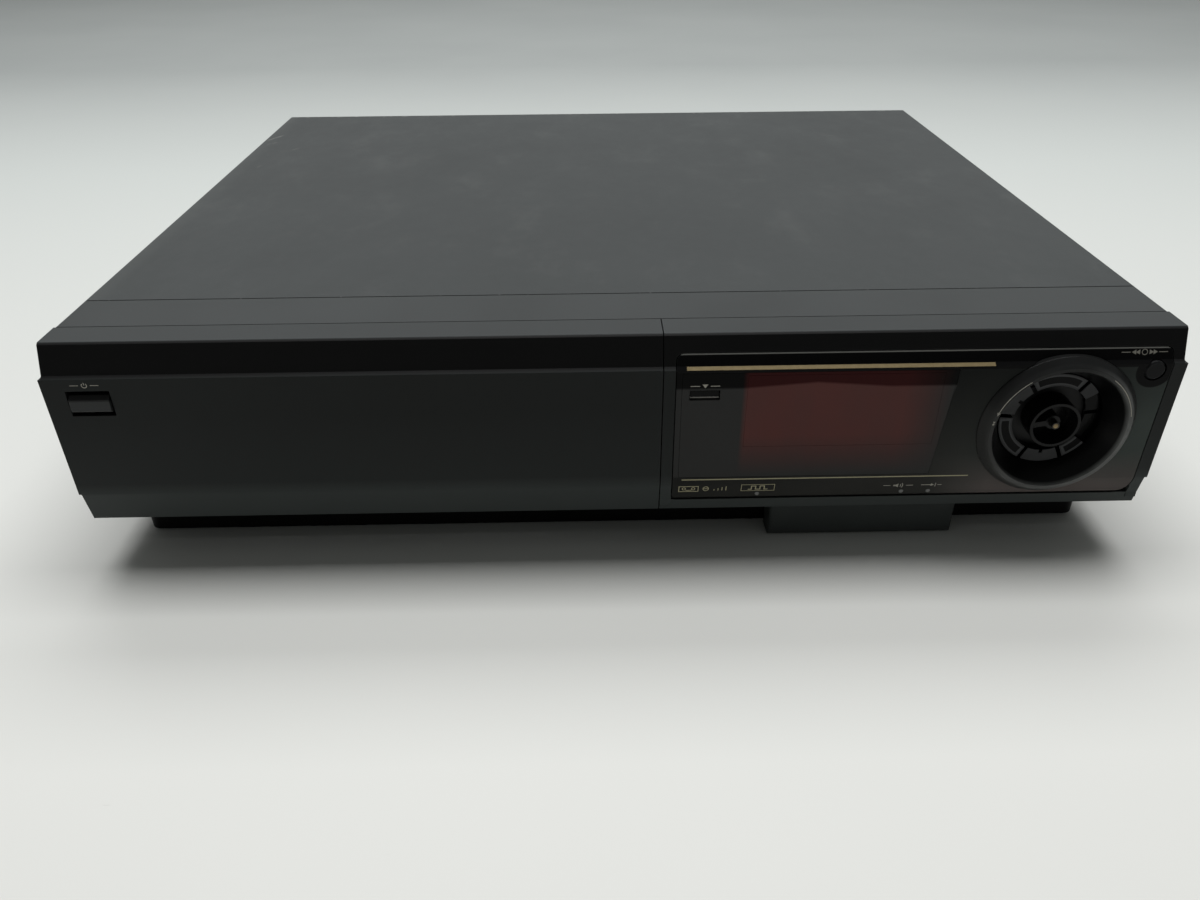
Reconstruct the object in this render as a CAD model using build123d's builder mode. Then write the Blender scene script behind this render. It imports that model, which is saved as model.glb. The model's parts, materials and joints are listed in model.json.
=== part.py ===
from build123d import *
from math import atan2, cos, degrees, radians, sin, tan
import os

# A VHS video cassette recorder of the editing type: a steel case, a moulded front in two halves and a
# cassette deck behind the left one. Lengths are millimetres. X runs to the right as the front is seen,
# Y to the rear and Z up. The origin is under the middle of the whole recorder, on the table. A depth is
# measured back from the front top edge, and a drop down from the top.

# ---- case --------------------------------------------------------------------------------------------
overall_width = 430.0
overall_height = 100.0
cover_rear = 370.0
belt_proud = 1.0
sheet = 1.0
cover_inset = 0.5
cover_corner = 2.0
cover_fit = 0.1
panel_gap = 0.4
groove = 0.6
side_vent_pitch = 7.0
side_vent_width = 2.4
side_vent_height = 30.0
side_vent_count = 8
side_vent_depth = 300.0
side_vent_drop = 28.0

# ---- front mouldings ---------------------------------------------------------------------------------
front_wall = 2.2
lip_depth = 14.0
lip_bevel = 0.7
band_drop = 11.7
band_out = 3.8
ledge_drop = 12.8
ledge_out = 5.2
belt_drop = 64.8
belt_out = 3.6
chin_drop = 78.3
chin_out = 0.5
split_gap = 0.4
strip_rear = 40.0
frame_wall_at = 16.0
frame_wall = 2.5
cover_ledge = 6.0
ledge_wall = 1.8

# ---- belly pan and feet ------------------------------------------------------------------------------
flange_drop = 77.6
belly_inset = 11.0
belly_front = 19.5
belly_rear_inset = 14.0
belly_corner = 5.0
belly_draft = 0.8
pan_sheet = 1.5
foot_height = 1.5
foot_radius = 10.0
foot_inset = 24.0
plug_size = 5.0
plug_length = 2.5
pan_wall = 18.0
support_margin = 48.1
support_width = 79.1
support_front = 8.0
support_lift = 0.4
support_toe = 2.0
support_corner = 1.5
floor_vent_width = 3.2
floor_vent_length = 44.0
floor_vent_pitch = 12.0
floor_vent_count = 5
floor_vent_depth = 300.0

# ---- cassette door, hinged on two stub pins ----------------------------------------------------------
door_axis_back = 10.0
door_axis_drop = 74.0
door_return = 13.5
door_heel = 3.0
door_arm = 3.0
door_arm_inset = 6.0
door_arm_rise = 10.0
door_pin_radius = 1.5
door_pin_length = 6.0
door_hub = 1.5
door_rib = 1.6
door_rib_deep = 3.5
pin_clearance = 0.08
lug_width = 4.0
lug_radius = 3.2
lug_nose = 1.4
lug_rise = 4.0
lug_gap = 0.3

# ---- power key ---------------------------------------------------------------------------------------
power_margin = 17.25
power_drop = 23.0
power_hole_width = 16.5
power_hole_height = 10.7
power_cap_width = 15.0
power_cap_height = 6.8
power_cap_rear = 4.0
power_out = 0.9
power_bevel = 1.6
power_edge = 0.6
power_travel = 2.0
power_switch_size = 15.0
power_stem_in = 3.0
key_stem_radius = 2.0
stem_clearance = 0.25

# ---- control door ------------------------------------------------------------------------------------
panel_margin = 4.8
panel_border = 4.3
panel_top_drop = 7.0
panel_bottom_drop = 73.0
panel_top_corner = 3.0
panel_left_corner = 2.0
panel_right_corner = 7.0
panel_plate = 3.0
panel_round = 2.5
panel_back = 2.5
panel_rib = 1.6
panel_rib_deep = 1.4
panel_pin_radius = 1.2
panel_pin_length = 2.6
panel_pin_root = 2.0
barrel_clearance = 0.6
fascia_boss = 5.0

# ---- windows and display, on the sloping face of the belt --------------------------------------------
window_margin = 2.3
window_dial_gap = 42.0
window_slant = 4.0
window_top_drop = 14.0
window_bottom_drop = 61.3
window_thick = 1.6
window_gap = 0.1
filter_margin = 25.0
filter_end = 5.3
filter_top_drop = 15.2
filter_bottom_drop = 47.0
display_thick = 5.0
display_border = 1.5
display_gap = 0.2
display_pins = 8
display_pin_width = 1.6
display_pin_length = 0.8

# ---- dial --------------------------------------------------------------------------------------------
dial_margin = 38.4
dial_drop = 39.5
collar_radius = 30.5
collar_seat = 1.7
collar_base = 0.4
rim_outer = 28.1
rim_inner = 25.9
rim_height = 4.0
rim_bevel = 0.7
well_radius = 20.4
well_depth = 10.0
well_wall = 1.5
carrier_radius = 20.0
carrier_bore = 14.7
carrier_face = 5.3
carrier_low_face = 7.6
carrier_slot_face = 8.8
carrier_back = 9.7
carrier_slot = 1.6
carrier_notch = 1.4
segment_angle = 50.0
hub_radius = 9.8
hub_wall = 1.2
hub_back = 9.5
hub_floor = 1.5
hub_boss = 3.0
hub_boss_drop = 2.5
hub_spoke = 2.4
hub_spoke_angle = 190.0
jog_shaft_radius = 1.5
jog_shaft_out = 0.4
jog_shaft_tail = 4.0
encoder_radius = 24.0
encoder_thick = 5.0
turn_clearance = 0.06

# ---- small buttons on the control door ---------------------------------------------------------------
latch_margin = 11.1
latch_drop = 23.5
latch_width = 11.6
latch_height = 4.3
latch_sunk = 1.0
latch_travel = 1.5
button_gap = 0.3
button_flange = 1.5
button_flange_thick = 1.2
button_edge = 0.4
round_margin = 6.3
round_drop = 15.8
round_radius = 3.9
round_proud = 0.2
round_edge = 0.7
round_travel = 1.0

# ---- keys behind the control door --------------------------------------------------------------------
key_panel_margin = 7.8
key_panel_dial_gap = 29.3
key_panel_top = 16.0
key_panel_bottom = 66.0
key_panel_front = 8.6
key_panel_corner = 2.0
key_wall = 1.6
key_first = 17.0
key_top_drop = 28.0
key_row_pitch = 18.0
key_spacing = 6.0
key_height = 9.0
key_edge = 0.5
key_flange = 1.2
key_proud = 1.0
key_travel = 0.8
key_rest = 0.4
key_stem_width = 6.0
key_stem_height = 3.0
key_window_margin = 4.0
switch_size = 6.0
switch_height = 1.0
front_board_gap = 1.2
front_board_margin = 4.0
front_board_end = 5.7
front_board_drop = 8.0
board_boss = 4.0

# ---- cassette slot -----------------------------------------------------------------------------------
slot_margin = 34.0
slot_width = 190.0
split_margin = 8.4
slot_top_drop = 12.0
slot_height = 29.0
tunnel_wall = 1.6
tunnel_rear = 26.0
flap_back = 22.6
flap_thick = 1.6
flap_pin_radius = 0.9
flap_gap = 1.0
flap_lift = 0.6
flap_rib = 1.2
flap_rib_end = 4.0
flap_ribs = 3

# ---- cassette carriage -------------------------------------------------------------------------------
holder_front = 28.0
holder_depth = 76.0
holder_sheet = 1.0
holder_clear = 0.6
holder_under = 0.2
holder_seat = 6.3
holder_edge = 25.0
holder_ledge = 18.0
holder_window = 46.0
holder_window_deep = 44.0
load_travel = 58.0
load_front = 50.0
load_rear = 96.0
arm_gap = 0.6
arm_sheet = 1.5
arm_skirt = 7.7
arm_drop = 13.0
arm_pin_inset = 8.0
bridge_inset = 16.0
bridge_gap = 1.0
guide_pin_radius = 1.5
slide_pin_radius = 2.0
slide_pin_drop = 5.0
slide_pin_inset = 5.0
slide_pin_end = 0.8
slot_clearance = 0.2

# ---- tape deck ---------------------------------------------------------------------------------------
deck_drop = 72.0
deck_sheet = 1.5
deck_front = 48.0
deck_rear = 262.0
deck_edge = 4.3
deck_post = 8.0
deck_post_inset = 12.0
side_sheet = 1.5
side_drop = 10.0
side_rear = 172.0
side_foot = 9.0
side_foot_length = 22.0
side_foot_inset = 8.0
side_bevel = 14.0
side_step = 22.0
side_window_at = 96.0
side_window_length = 64.0
side_window_height = 26.0
side_window_lift = 9.5
reel_back = 124.0
reel_half_pitch = 46.0
reel_radius = 17.0
reel_gap_radius = 15.0
reel_lift = 0.4
reel_flange = 2.5
reel_core = 7.0
reel_wing = 1.5
reel_wing_width = 3.0
reel_height = 18.0
reel_shaft_radius = 1.5
drum_rear_gap = 62.0
drum_radius = 31.0
drum_tilt = 5.0
drum_lift = 5.5
drum_lower = 19.0
drum_upper = 20.0
drum_split = 0.4
drum_shaft_radius = 3.0
drum_head_angle = 60.0
drum_rim = 4.0
drum_hub = 10.0
drum_recess = 5.0
head_width = 2.4
head_length = 4.0
head_window = 2.2
capstan_x = 58.0
capstan_back = 176.0
capstan_radius = 2.0
capstan_rise = 36.5
capstan_sleeve = 5.0
capstan_sleeve_rise = 12.5
motor_plate_width = 50.0
motor_plate_deep = 46.0
motor_plate = 3.2
motor_gap = 1.3
flywheel_radius = 26.0
flywheel_thick = 7.0
pivot_x = 24.0
pivot_back = 12.0
pivot_radius = 2.0
pivot_rise = 26.0
pinch_x = 2.5
pinch_open = 7.0
pinch_radius = 9.0
pinch_height = 14.0
pinch_axle = 1.6
pinch_axle_over = 3.0
pinch_arm_rise = 14.5
pinch_arm_thick = 2.0
pinch_arm_width = 8.0
pinch_sleeve_rise = 23.4
guide_radius = 2.2
guide_base = 7.0
guide_base_height = 6.0
guide_height = 42.0
guide_out = 39.0
guide_behind = 24.0
entry_guide_out = 62.0
entry_guide_ahead = 28.0
erase_guide_out = 50.0
erase_guide_ahead = 10.0
head_x = 47.0
head_behind = 7.0
head_base = 18.0
head_base_height = 8.0
head_block = 11.0
head_block_height = 22.0
erase_x = -54.0
erase_base = 12.0
erase_base_height = 10.0
erase_block = 8.0
erase_block_height = 17.0
loader_x = 85.0
loader_rear_gap = 10.0
loader_radius = 11.0
loader_length = 34.0
loader_worm = 4.0
loader_worm_length = 9.0
loader_saddle = 18.0
loader_saddle_height = 8.0

# ---- electronics -------------------------------------------------------------------------------------
board_thick = 1.6
board_lift = 9.0
tbc_drop = 36.0
board_margin = 4.0
board_side_gap = 17.1
main_front = 60.0
main_supply_gap = 10.0
supply_length = 108.0
supply_rear_gap = 6.0
board_post = 6.0
board_post_inset = 6.0
spacer_radius = 3.2
chip_height = 3.0
chip_pitch = 56.0
chip_margin = 16.0
main_chip_width = 28.0
main_chip_length = 14.0
main_can = 5.0
tbc_chip_width = 20.0
tbc_chip_length = 26.0
power_chip_width = 12.0
power_chip_length = 8.0
power_can = 9.0
can_height = 12.0
transformer_gap = 38.0
transformer_back = 54.0
core_width = 66.0
core_deep = 34.0
core_height = 54.0
core_bevel = 2.0
winding_reach = 9.0
winding_side = 11.0
winding_low = 9.0
sink_gap = 66.0
sink_back = 13.0
sink_width = 60.0
sink_web = 3.0
sink_height = 40.0
sink_fin = 1.2
sink_fin_deep = 12.0
sink_fins = 10

# ---- rear --------------------------------------------------------------------------------------------
rear_recess = 4.2
rear_sheet = 1.2
rear_reach = 6.0
rear_fit = 0.2
window_lap = 1.5
block_deep = 10.0
jack_margin = 48.0
jack_pitch = 18.0
jack_columns = 2
jack_top_drop = 30.0
jack_row_pitch = 20.0
jack_radius = 4.15
jack_bore = 1.6
jack_bore_deep = 6.0
jack_border = 9.0
s_video_margin = 107.0
s_video_radius = 5.6
s_video_bore = 4.4
s_video_out = 1.6
s_video_bore_deep = 5.0
s_video_border = 8.0
aerial_margin = 141.0
aerial_radius = 4.7
aerial_bore = 1.2
aerial_bore_deep = 5.0
aerial_border = 9.0
serial_margin = 205.0
serial_drop = 40.0
serial_width = 31.0
serial_height = 8.5
serial_flange = 11.0
serial_flange_thick = 0.8
serial_out = 5.0
serial_shell = 0.8
serial_angle = 80.0
serial_screw = 2.4
inlet_margin = 43.0
inlet_drop = 54.0
inlet_width = 27.0
inlet_height = 20.0
inlet_flange = 2.5
inlet_flange_thick = 1.4
inlet_recess = 16.0
inlet_wall = 1.6
inlet_corner = 4.0
blade_pitch = 7.0
blade_width = 2.0
blade_height = 4.0
blade_drop = 2.0
blade_length = 14.0
vent_margin = 97.0
vent_drop = 22.0
vent_pitch = 8.0
vent_width = 3.0
vent_height = 20.0
vent_count = 8

# ---- places worked out from the sizes above ----------------------------------------------------------
top_z = overall_height
half_width = overall_width / 2
body_half = half_width - belt_proud
cover_half = half_width - cover_inset
inner_half = cover_half - sheet - panel_gap
tilt = atan2(ledge_out - belt_out, belt_drop - ledge_drop)


def belt_line_out(drop):
    """How far the sloping plane of the belt stands ahead of the front top edge at a drop."""
    return ledge_out - (drop - ledge_drop) * (ledge_out - belt_out) / (belt_drop - ledge_drop)


def front_out(drop):
    """How far the moulded front stands ahead of its top edge at a drop below the top."""
    corners = [(0, 0), (band_drop, band_out), (ledge_drop, ledge_out), (belt_drop, belt_out),
               (chin_drop, chin_out)]
    for (high, out_high), (low, out_low) in zip(corners, corners[1:]):
        if drop <= low:
            return out_high + (out_low - out_high) * (drop - high) / (low - high)
    return chin_out


dial_out = belt_line_out(dial_drop)
front_reach = dial_out + rim_height * cos(tilt) + rim_outer * sin(tilt)
front_y = (front_reach - rear_reach - cover_rear) / 2
chin_z = top_z - chin_drop
flange_top = top_z - flange_drop
pan_floor = foot_height + pan_sheet
belly_width = overall_width - 2 * belly_inset
belly_rear = cover_rear - belly_rear_inset
belly_mid = front_y + (belly_front + belly_rear) / 2
belly_depth = belly_rear - belly_front
rear_panel_at = cover_rear - rear_recess
rear_face = rear_panel_at + rear_sheet

slot_left = -half_width + slot_margin
slot_right = slot_left + slot_width
slot_x = slot_left + slot_width / 2
slot_high = top_z - slot_top_drop
slot_bottom = slot_high - slot_height
split_x = slot_right + split_margin
power_x = slot_left - power_margin
door_left = -body_half
door_right = split_x - split_gap / 2
door_axis_y = front_y + door_axis_back
door_axis_z = top_z - door_axis_drop

fascia_left = split_x + split_gap / 2
panel_left = split_x + panel_margin
panel_right = body_half - panel_border
panel_axis_drop = panel_bottom_drop - panel_round
panel_axis_y = front_y - front_out(panel_axis_drop) + panel_round
panel_axis_z = top_z - panel_axis_drop
dial_x = panel_right - dial_margin
latch_x = panel_left + latch_margin
round_x = panel_right - round_margin
window_left = panel_left + window_margin
window_right = dial_x - window_dial_gap
filter_left = window_left + filter_margin
filter_right = window_right - filter_end
key_panel_left = panel_left + key_panel_margin
key_panel_right = dial_x - key_panel_dial_gap
key_pitch = (key_panel_right - key_panel_left - 2 * key_first) / 3
key_width = key_pitch - key_spacing
front_board_at = frame_wall_at + frame_wall + front_board_gap

deck_bottom = top_z - deck_drop
deck_top = deck_bottom + deck_sheet
side_top = top_z - side_drop
holder_half = slot_width / 2 + holder_sheet
holder_low = slot_bottom - holder_under - holder_sheet
holder_high = slot_high + holder_clear + holder_sheet
holder_rear = holder_front + holder_depth
holder_lift = holder_low - deck_top - holder_seat
guide_z = (holder_low + holder_high) / 2
arm_in = holder_half + arm_gap
arm_out = arm_in + arm_sheet
arm_low = guide_z - holder_lift - arm_skirt
arm_high = top_z - arm_drop
slide_z = arm_high - slide_pin_drop
side_in = arm_out + arm_gap
deck_half = side_in + side_foot + deck_edge
drum_back = deck_rear - drum_rear_gap
head_back = drum_back + head_behind
loader_rear = deck_rear - loader_rear_gap
guide_spots = [(slot_x - entry_guide_out, drum_back - entry_guide_ahead),
               (slot_x - erase_guide_out, drum_back - erase_guide_ahead),
               (slot_x - guide_out, drum_back + guide_behind),
               (slot_x + guide_out, drum_back + guide_behind)]
capstan_place = (slot_x + capstan_x, front_y + capstan_back)
pinch_pivot = (capstan_place[0] + pivot_x, capstan_place[1] + pivot_back)
pinch_place = (capstan_place[0] + pinch_x, capstan_place[1] + capstan_radius + pinch_radius + pinch_open)

board_height = pan_floor + board_lift
board_left = slot_x + deck_half + board_margin
board_right = inner_half - board_side_gap
supply_rear = belly_rear - supply_rear_gap
supply_front = supply_rear - supply_length
main_rear = supply_front - main_supply_gap
tbc_height = top_z - tbc_drop

jack_left = -half_width + jack_margin
jack_places = [(jack_left + column * jack_pitch, top_z - jack_top_drop - row * jack_row_pitch)
               for column in range(jack_columns) for row in range(2)]
s_video_x = -half_width + s_video_margin
aerial_x = -half_width + aerial_margin
serial_x = -half_width + serial_margin
serial_z = top_z - serial_drop
inlet_x = half_width - inlet_margin
inlet_z = top_z - inlet_drop


# ---- helpers, used inside an open part ---------------------------------------------------------------
def facing(depth):
    """Plane across the recorder at a depth; extrusions from it go forward."""
    return Plane.XZ.offset(-(front_y + depth))


def front_line(first, last, inset):
    """Points (Y, Z) down the front between two drops, moved back by inset."""
    drops = [first] + [drop for drop in (band_drop, ledge_drop, belt_drop) if first < drop < last] + [last]
    return [(front_y - front_out(drop) + inset, top_z - drop) for drop in drops]


def strip_between(left, right, points, mode=Mode.ADD):
    """Extrude a closed (Y, Z) section from one X to another."""
    with BuildSketch(Plane.YZ.offset(left)) as section:
        with BuildLine():
            Polyline(*points, close=True)
        make_face()
    extrude(section.sketch, amount=right - left, mode=mode)


def bar_x(left, length, y, z, radius, mode=Mode.ADD):
    """A round bar along X."""
    with BuildSketch(Plane.YZ.offset(left)) as section:
        with Locations((y, z)):
            Circle(radius)
    extrude(section.sketch, amount=length, mode=mode)


def block(left, right, near, far, low, high, mode=Mode.ADD):
    """A rectangular block between X limits, depths and heights."""
    with BuildSketch(facing(far)) as section:
        with Locations(((left + right) / 2, (low + high) / 2)):
            Rectangle(right - left, high - low)
    extrude(section.sketch, amount=far - near, mode=mode)


def square_posts(places, size, low, high, mode=Mode.ADD):
    """Square posts at places given as X and depth."""
    with BuildSketch(Plane.XY.offset(low)) as section:
        with Locations(*[(x, front_y + depth) for x, depth in places]):
            Rectangle(size, size)
    extrude(section.sketch, amount=high - low, mode=mode)


def upright(place, radius, low, high, mode=Mode.ADD):
    """An upright cylinder at a place given as X and Y."""
    with BuildSketch(Plane.XY.offset(low)) as section:
        with Locations(place):
            Circle(radius)
    extrude(section.sketch, amount=high - low, mode=mode)


def corners_of(left, right, near, far, inset):
    """The four corners of a rectangle, moved inwards, as X and depth."""
    return [(x, depth) for x in (left + inset, right - inset) for depth in (near + inset, far - inset)]


# ======================================================================================================
# Case
# ======================================================================================================
feet_places = corners_of(-belly_width / 2, belly_width / 2, belly_front, belly_rear, foot_inset)
deck_posts = corners_of(slot_x - deck_half, slot_x + deck_half, deck_front, deck_rear, deck_post_inset)
main_posts = corners_of(board_left, board_right, main_front, main_rear, board_post_inset)
supply_posts = corners_of(board_left, board_right, supply_front, supply_rear, board_post_inset)

with BuildPart() as lower_chassis:
    with BuildSketch(Plane.XY.offset(flange_top)):
        with Locations((0, belly_mid)):
            RectangleRounded(belly_width, belly_depth, belly_corner)
    extrude(amount=-(flange_top - foot_height), taper=belly_draft)
    block(-inner_half, inner_half, belly_front, rear_panel_at, flange_top - pan_sheet, flange_top)
    with BuildSketch(Plane.XY.offset(flange_top)) as well:
        with Locations((0, belly_mid)):
            Rectangle(belly_width - 2 * pan_sheet, belly_depth - 2 * pan_sheet)
        chamfer(well.vertices(), belly_corner - pan_sheet)
    extrude(amount=-(flange_top - pan_floor), taper=belly_draft, mode=Mode.SUBTRACT)
    for side in (-1, 1):
        wall_left, wall_right = sorted((side * inner_half, side * (inner_half - pan_sheet)))
        block(wall_left, wall_right, strip_rear + cover_ledge + panel_gap, rear_panel_at - panel_gap,
              flange_top, flange_top + pan_wall)
    square_posts(deck_posts, deck_post, foot_height, deck_bottom)
    square_posts(main_posts + supply_posts, board_post, foot_height, board_height)
    square_posts(feet_places, plug_size + 2 * pin_clearance, foot_height, pan_floor, Mode.SUBTRACT)
    with BuildSketch(Plane.XY.offset(foot_height)):
        with Locations((slot_x, front_y + floor_vent_depth)):
            with GridLocations(floor_vent_pitch, 1, floor_vent_count, 1):
                Rectangle(floor_vent_width, floor_vent_length)
    extrude(amount=pan_sheet, mode=Mode.SUBTRACT)

with BuildPart() as rubber_feet:
    with BuildSketch(Plane.XY):
        with Locations(*[(x, front_y + depth) for x, depth in feet_places]):
            Circle(foot_radius)
    extrude(amount=foot_height)
    square_posts(feet_places, plug_size, foot_height, foot_height + plug_length)

support_high = flange_top - pan_sheet - panel_gap
support_rear = belly_front - panel_gap
support_left = split_x + support_margin
with BuildPart() as front_support_foot:
    strip_between(support_left, support_left + support_width, [
        (front_y + support_front, support_high),
        (front_y + support_front, support_lift + support_toe),
        (front_y + support_front + support_toe, support_lift),
        (front_y + support_rear, support_lift),
        (front_y + support_rear, support_high),
    ])
    fillet(front_support_foot.edges().filter_by(Axis.Z).group_by(Axis.Y)[0], support_corner)

front_board_left = key_panel_left - front_board_margin
front_board_right = panel_right - front_board_end
front_board_low = top_z - key_panel_bottom - front_board_margin
front_board_high = top_z - front_board_drop
frame_rear = frame_wall_at + frame_wall
lug_x = door_arm_inset + door_arm + lug_gap

with BuildPart() as front_frame:
    with BuildSketch(facing(strip_rear)):
        with Locations((0, (top_z + flange_top) / 2)):
            Rectangle(2 * cover_half, top_z - flange_top)
            Rectangle(2 * (cover_half - front_wall), top_z - flange_top - 2 * front_wall, mode=Mode.SUBTRACT)
    extrude(amount=strip_rear - lip_depth - panel_gap)
    top_corners = front_frame.edges().filter_by(Axis.Y).group_by(Axis.Z)[-1]
    fillet([top_corners.sort_by(Axis.X)[0], top_corners.sort_by(Axis.X)[-1]], cover_corner)
    with BuildSketch(facing(strip_rear + cover_ledge)):
        with Locations((0, (top_z - sheet - cover_fit + flange_top) / 2)):
            Rectangle(2 * inner_half, top_z - sheet - cover_fit - flange_top)
            Rectangle(2 * (inner_half - ledge_wall), top_z - sheet - cover_fit - flange_top - 2 * ledge_wall,
                      mode=Mode.SUBTRACT)
    extrude(amount=cover_ledge + ledge_wall)
    block(-cover_half + front_wall, cover_half - front_wall, frame_wall_at, frame_rear, flange_top,
          top_z - front_wall)
    block(slot_left - tunnel_wall, slot_right + tunnel_wall, frame_wall_at, tunnel_rear,
          slot_bottom - tunnel_wall, slot_high + tunnel_wall)
    block(slot_left, slot_right, frame_wall_at, tunnel_rear, slot_bottom, slot_high, Mode.SUBTRACT)
    bar_x(slot_left - tunnel_wall, slot_width + 2 * tunnel_wall, front_y + flap_back,
          slot_high - flap_gap - flap_pin_radius, flap_pin_radius + pin_clearance, Mode.SUBTRACT)
    for lug_left in (door_left + lug_x, door_right - lug_x - lug_width):
        strip_between(lug_left, lug_left + lug_width, [
            (door_axis_y - lug_nose, door_axis_z - lug_radius),
            (front_y + frame_wall_at, door_axis_z - lug_radius),
            (front_y + frame_wall_at, door_axis_z + lug_radius + lug_rise),
            (door_axis_y - lug_nose, door_axis_z + lug_radius),
            (door_axis_y - lug_radius, door_axis_z + lug_nose),
            (door_axis_y - lug_radius, door_axis_z - lug_nose),
        ])
        bar_x(lug_left, lug_width, door_axis_y, door_axis_z, door_pin_radius + pin_clearance, Mode.SUBTRACT)
    block(key_panel_left + key_window_margin, key_panel_right - key_window_margin, frame_wall_at, frame_rear,
          top_z - key_panel_bottom + key_window_margin, top_z - key_panel_top - key_window_margin,
          Mode.SUBTRACT)
    with BuildSketch(facing(frame_rear)):
        with Locations((power_x, top_z - power_drop)):
            Circle(key_stem_radius + stem_clearance)
    extrude(amount=frame_wall, mode=Mode.SUBTRACT)
    for boss_x in (front_board_left, front_board_right - board_boss):
        for boss_z in (front_board_low, front_board_high - board_boss):
            block(boss_x, boss_x + board_boss, frame_rear, front_board_at, boss_z, boss_z + board_boss)

with BuildPart() as top_cover:
    with BuildSketch(facing(cover_rear)) as cover_section:
        with Locations((0, (top_z + flange_top + panel_gap) / 2)):
            Rectangle(2 * cover_half, top_z - flange_top - panel_gap)
        fillet(cover_section.vertices().group_by(Axis.Y)[-1], cover_corner)
        with Locations((0, (top_z - sheet + flange_top) / 2)):
            Rectangle(2 * (cover_half - sheet), top_z - sheet - flange_top, mode=Mode.SUBTRACT)
    extrude(amount=cover_rear - strip_rear - groove)
    with BuildSketch(Plane.YZ.offset(-half_width)):
        with Locations((front_y + side_vent_depth, top_z - side_vent_drop)):
            with GridLocations(side_vent_pitch, 1, side_vent_count, 1):
                Rectangle(side_vent_width, side_vent_height)
    extrude(amount=overall_width, mode=Mode.SUBTRACT)


# ======================================================================================================
# Rear
# ======================================================================================================
def socket_block(places, border, radius, out, bore, bore_deep):
    """Moulded block behind the rear panel whose round shells stand out through a window in it."""
    left, right = min(x for x, z in places) - border, max(x for x, z in places) + border
    low, high = min(z for x, z in places) - border, max(z for x, z in places) + border
    with BuildPart() as sockets:
        block(left, right, rear_panel_at - block_deep, rear_panel_at, low, high)
        for size, near, mode in ((radius, rear_panel_at, Mode.ADD), (bore, out - bore_deep, Mode.SUBTRACT)):
            with BuildSketch(facing(out)) as shells:
                with Locations(*places):
                    Circle(size)
            extrude(shells.sketch, amount=out - near, mode=mode)
    return sockets


def panel_window(places, border):
    """Window in the rear panel over a socket block, as its middle and size."""
    left, right = min(x for x, z in places) - border, max(x for x, z in places) + border
    low, high = min(z for x, z in places) - border, max(z for x, z in places) + border
    return (left + right) / 2, (low + high) / 2, right - left - 2 * window_lap, high - low - 2 * window_lap


jack_rows = sorted({z for x, z in jack_places})
s_video_places = [(s_video_x, z) for z in jack_rows]
aerial_places = [(aerial_x, z) for z in jack_rows]
rear_windows = [
    panel_window(jack_places, jack_border),
    panel_window(s_video_places, s_video_border),
    panel_window(aerial_places, aerial_border),
    (serial_x, serial_z, serial_width, serial_height),
    (inlet_x, inlet_z, inlet_width + 2 * rear_fit, inlet_height + 2 * rear_fit),
]

with BuildPart() as rear_panel:
    block(-inner_half, inner_half, rear_panel_at, rear_face, flange_top, top_z - sheet - rear_fit)
    for x, z, width, height in rear_windows:
        block(x - width / 2, x + width / 2, rear_panel_at, rear_face, z - height / 2, z + height / 2,
              Mode.SUBTRACT)
    with BuildSketch(facing(rear_face)):
        with Locations((half_width - vent_margin, top_z - vent_drop)):
            with GridLocations(vent_pitch, 1, vent_count, 1):
                Rectangle(vent_width, vent_height)
    extrude(amount=rear_sheet, mode=Mode.SUBTRACT)

socket_out = cover_rear + rear_reach
rca_sockets = socket_block(jack_places, jack_border, jack_radius, socket_out, jack_bore, jack_bore_deep)
s_video_sockets = socket_block(s_video_places, s_video_border, s_video_radius, rear_face + s_video_out,
                               s_video_bore, s_video_bore_deep)
aerial_sockets = socket_block(aerial_places, aerial_border, aerial_radius, socket_out, aerial_bore,
                              aerial_bore_deep)

with BuildPart() as serial_connector:
    block(serial_x - serial_width / 2 - serial_flange, serial_x + serial_width / 2 + serial_flange,
          rear_face, rear_face + serial_flange_thick, serial_z - serial_height / 2 - window_lap,
          serial_z + serial_height / 2 + window_lap)
    block(serial_x - serial_width / 2 + rear_fit, serial_x + serial_width / 2 - rear_fit,
          rear_panel_at - block_deep, rear_face, serial_z - serial_height / 2 + rear_fit,
          serial_z + serial_height / 2 - rear_fit)
    with BuildSketch(facing(rear_face + serial_out)):
        with Locations((serial_x, serial_z)):
            Trapezoid(serial_width, serial_height, serial_angle, rotation=180)
    extrude(amount=serial_out)
    with BuildSketch(facing(rear_face + serial_out)):
        with Locations((serial_x, serial_z)):
            Trapezoid(serial_width - 2 * serial_shell, serial_height - 2 * serial_shell, serial_angle,
                      rotation=180)
    extrude(amount=serial_out - serial_shell, mode=Mode.SUBTRACT)
    with BuildSketch(facing(rear_face + serial_out)):
        with Locations((serial_x, serial_z)):
            with GridLocations(serial_width + serial_flange, 1, 2, 1):
                RegularPolygon(serial_screw, 6)
    extrude(amount=serial_out)

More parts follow.
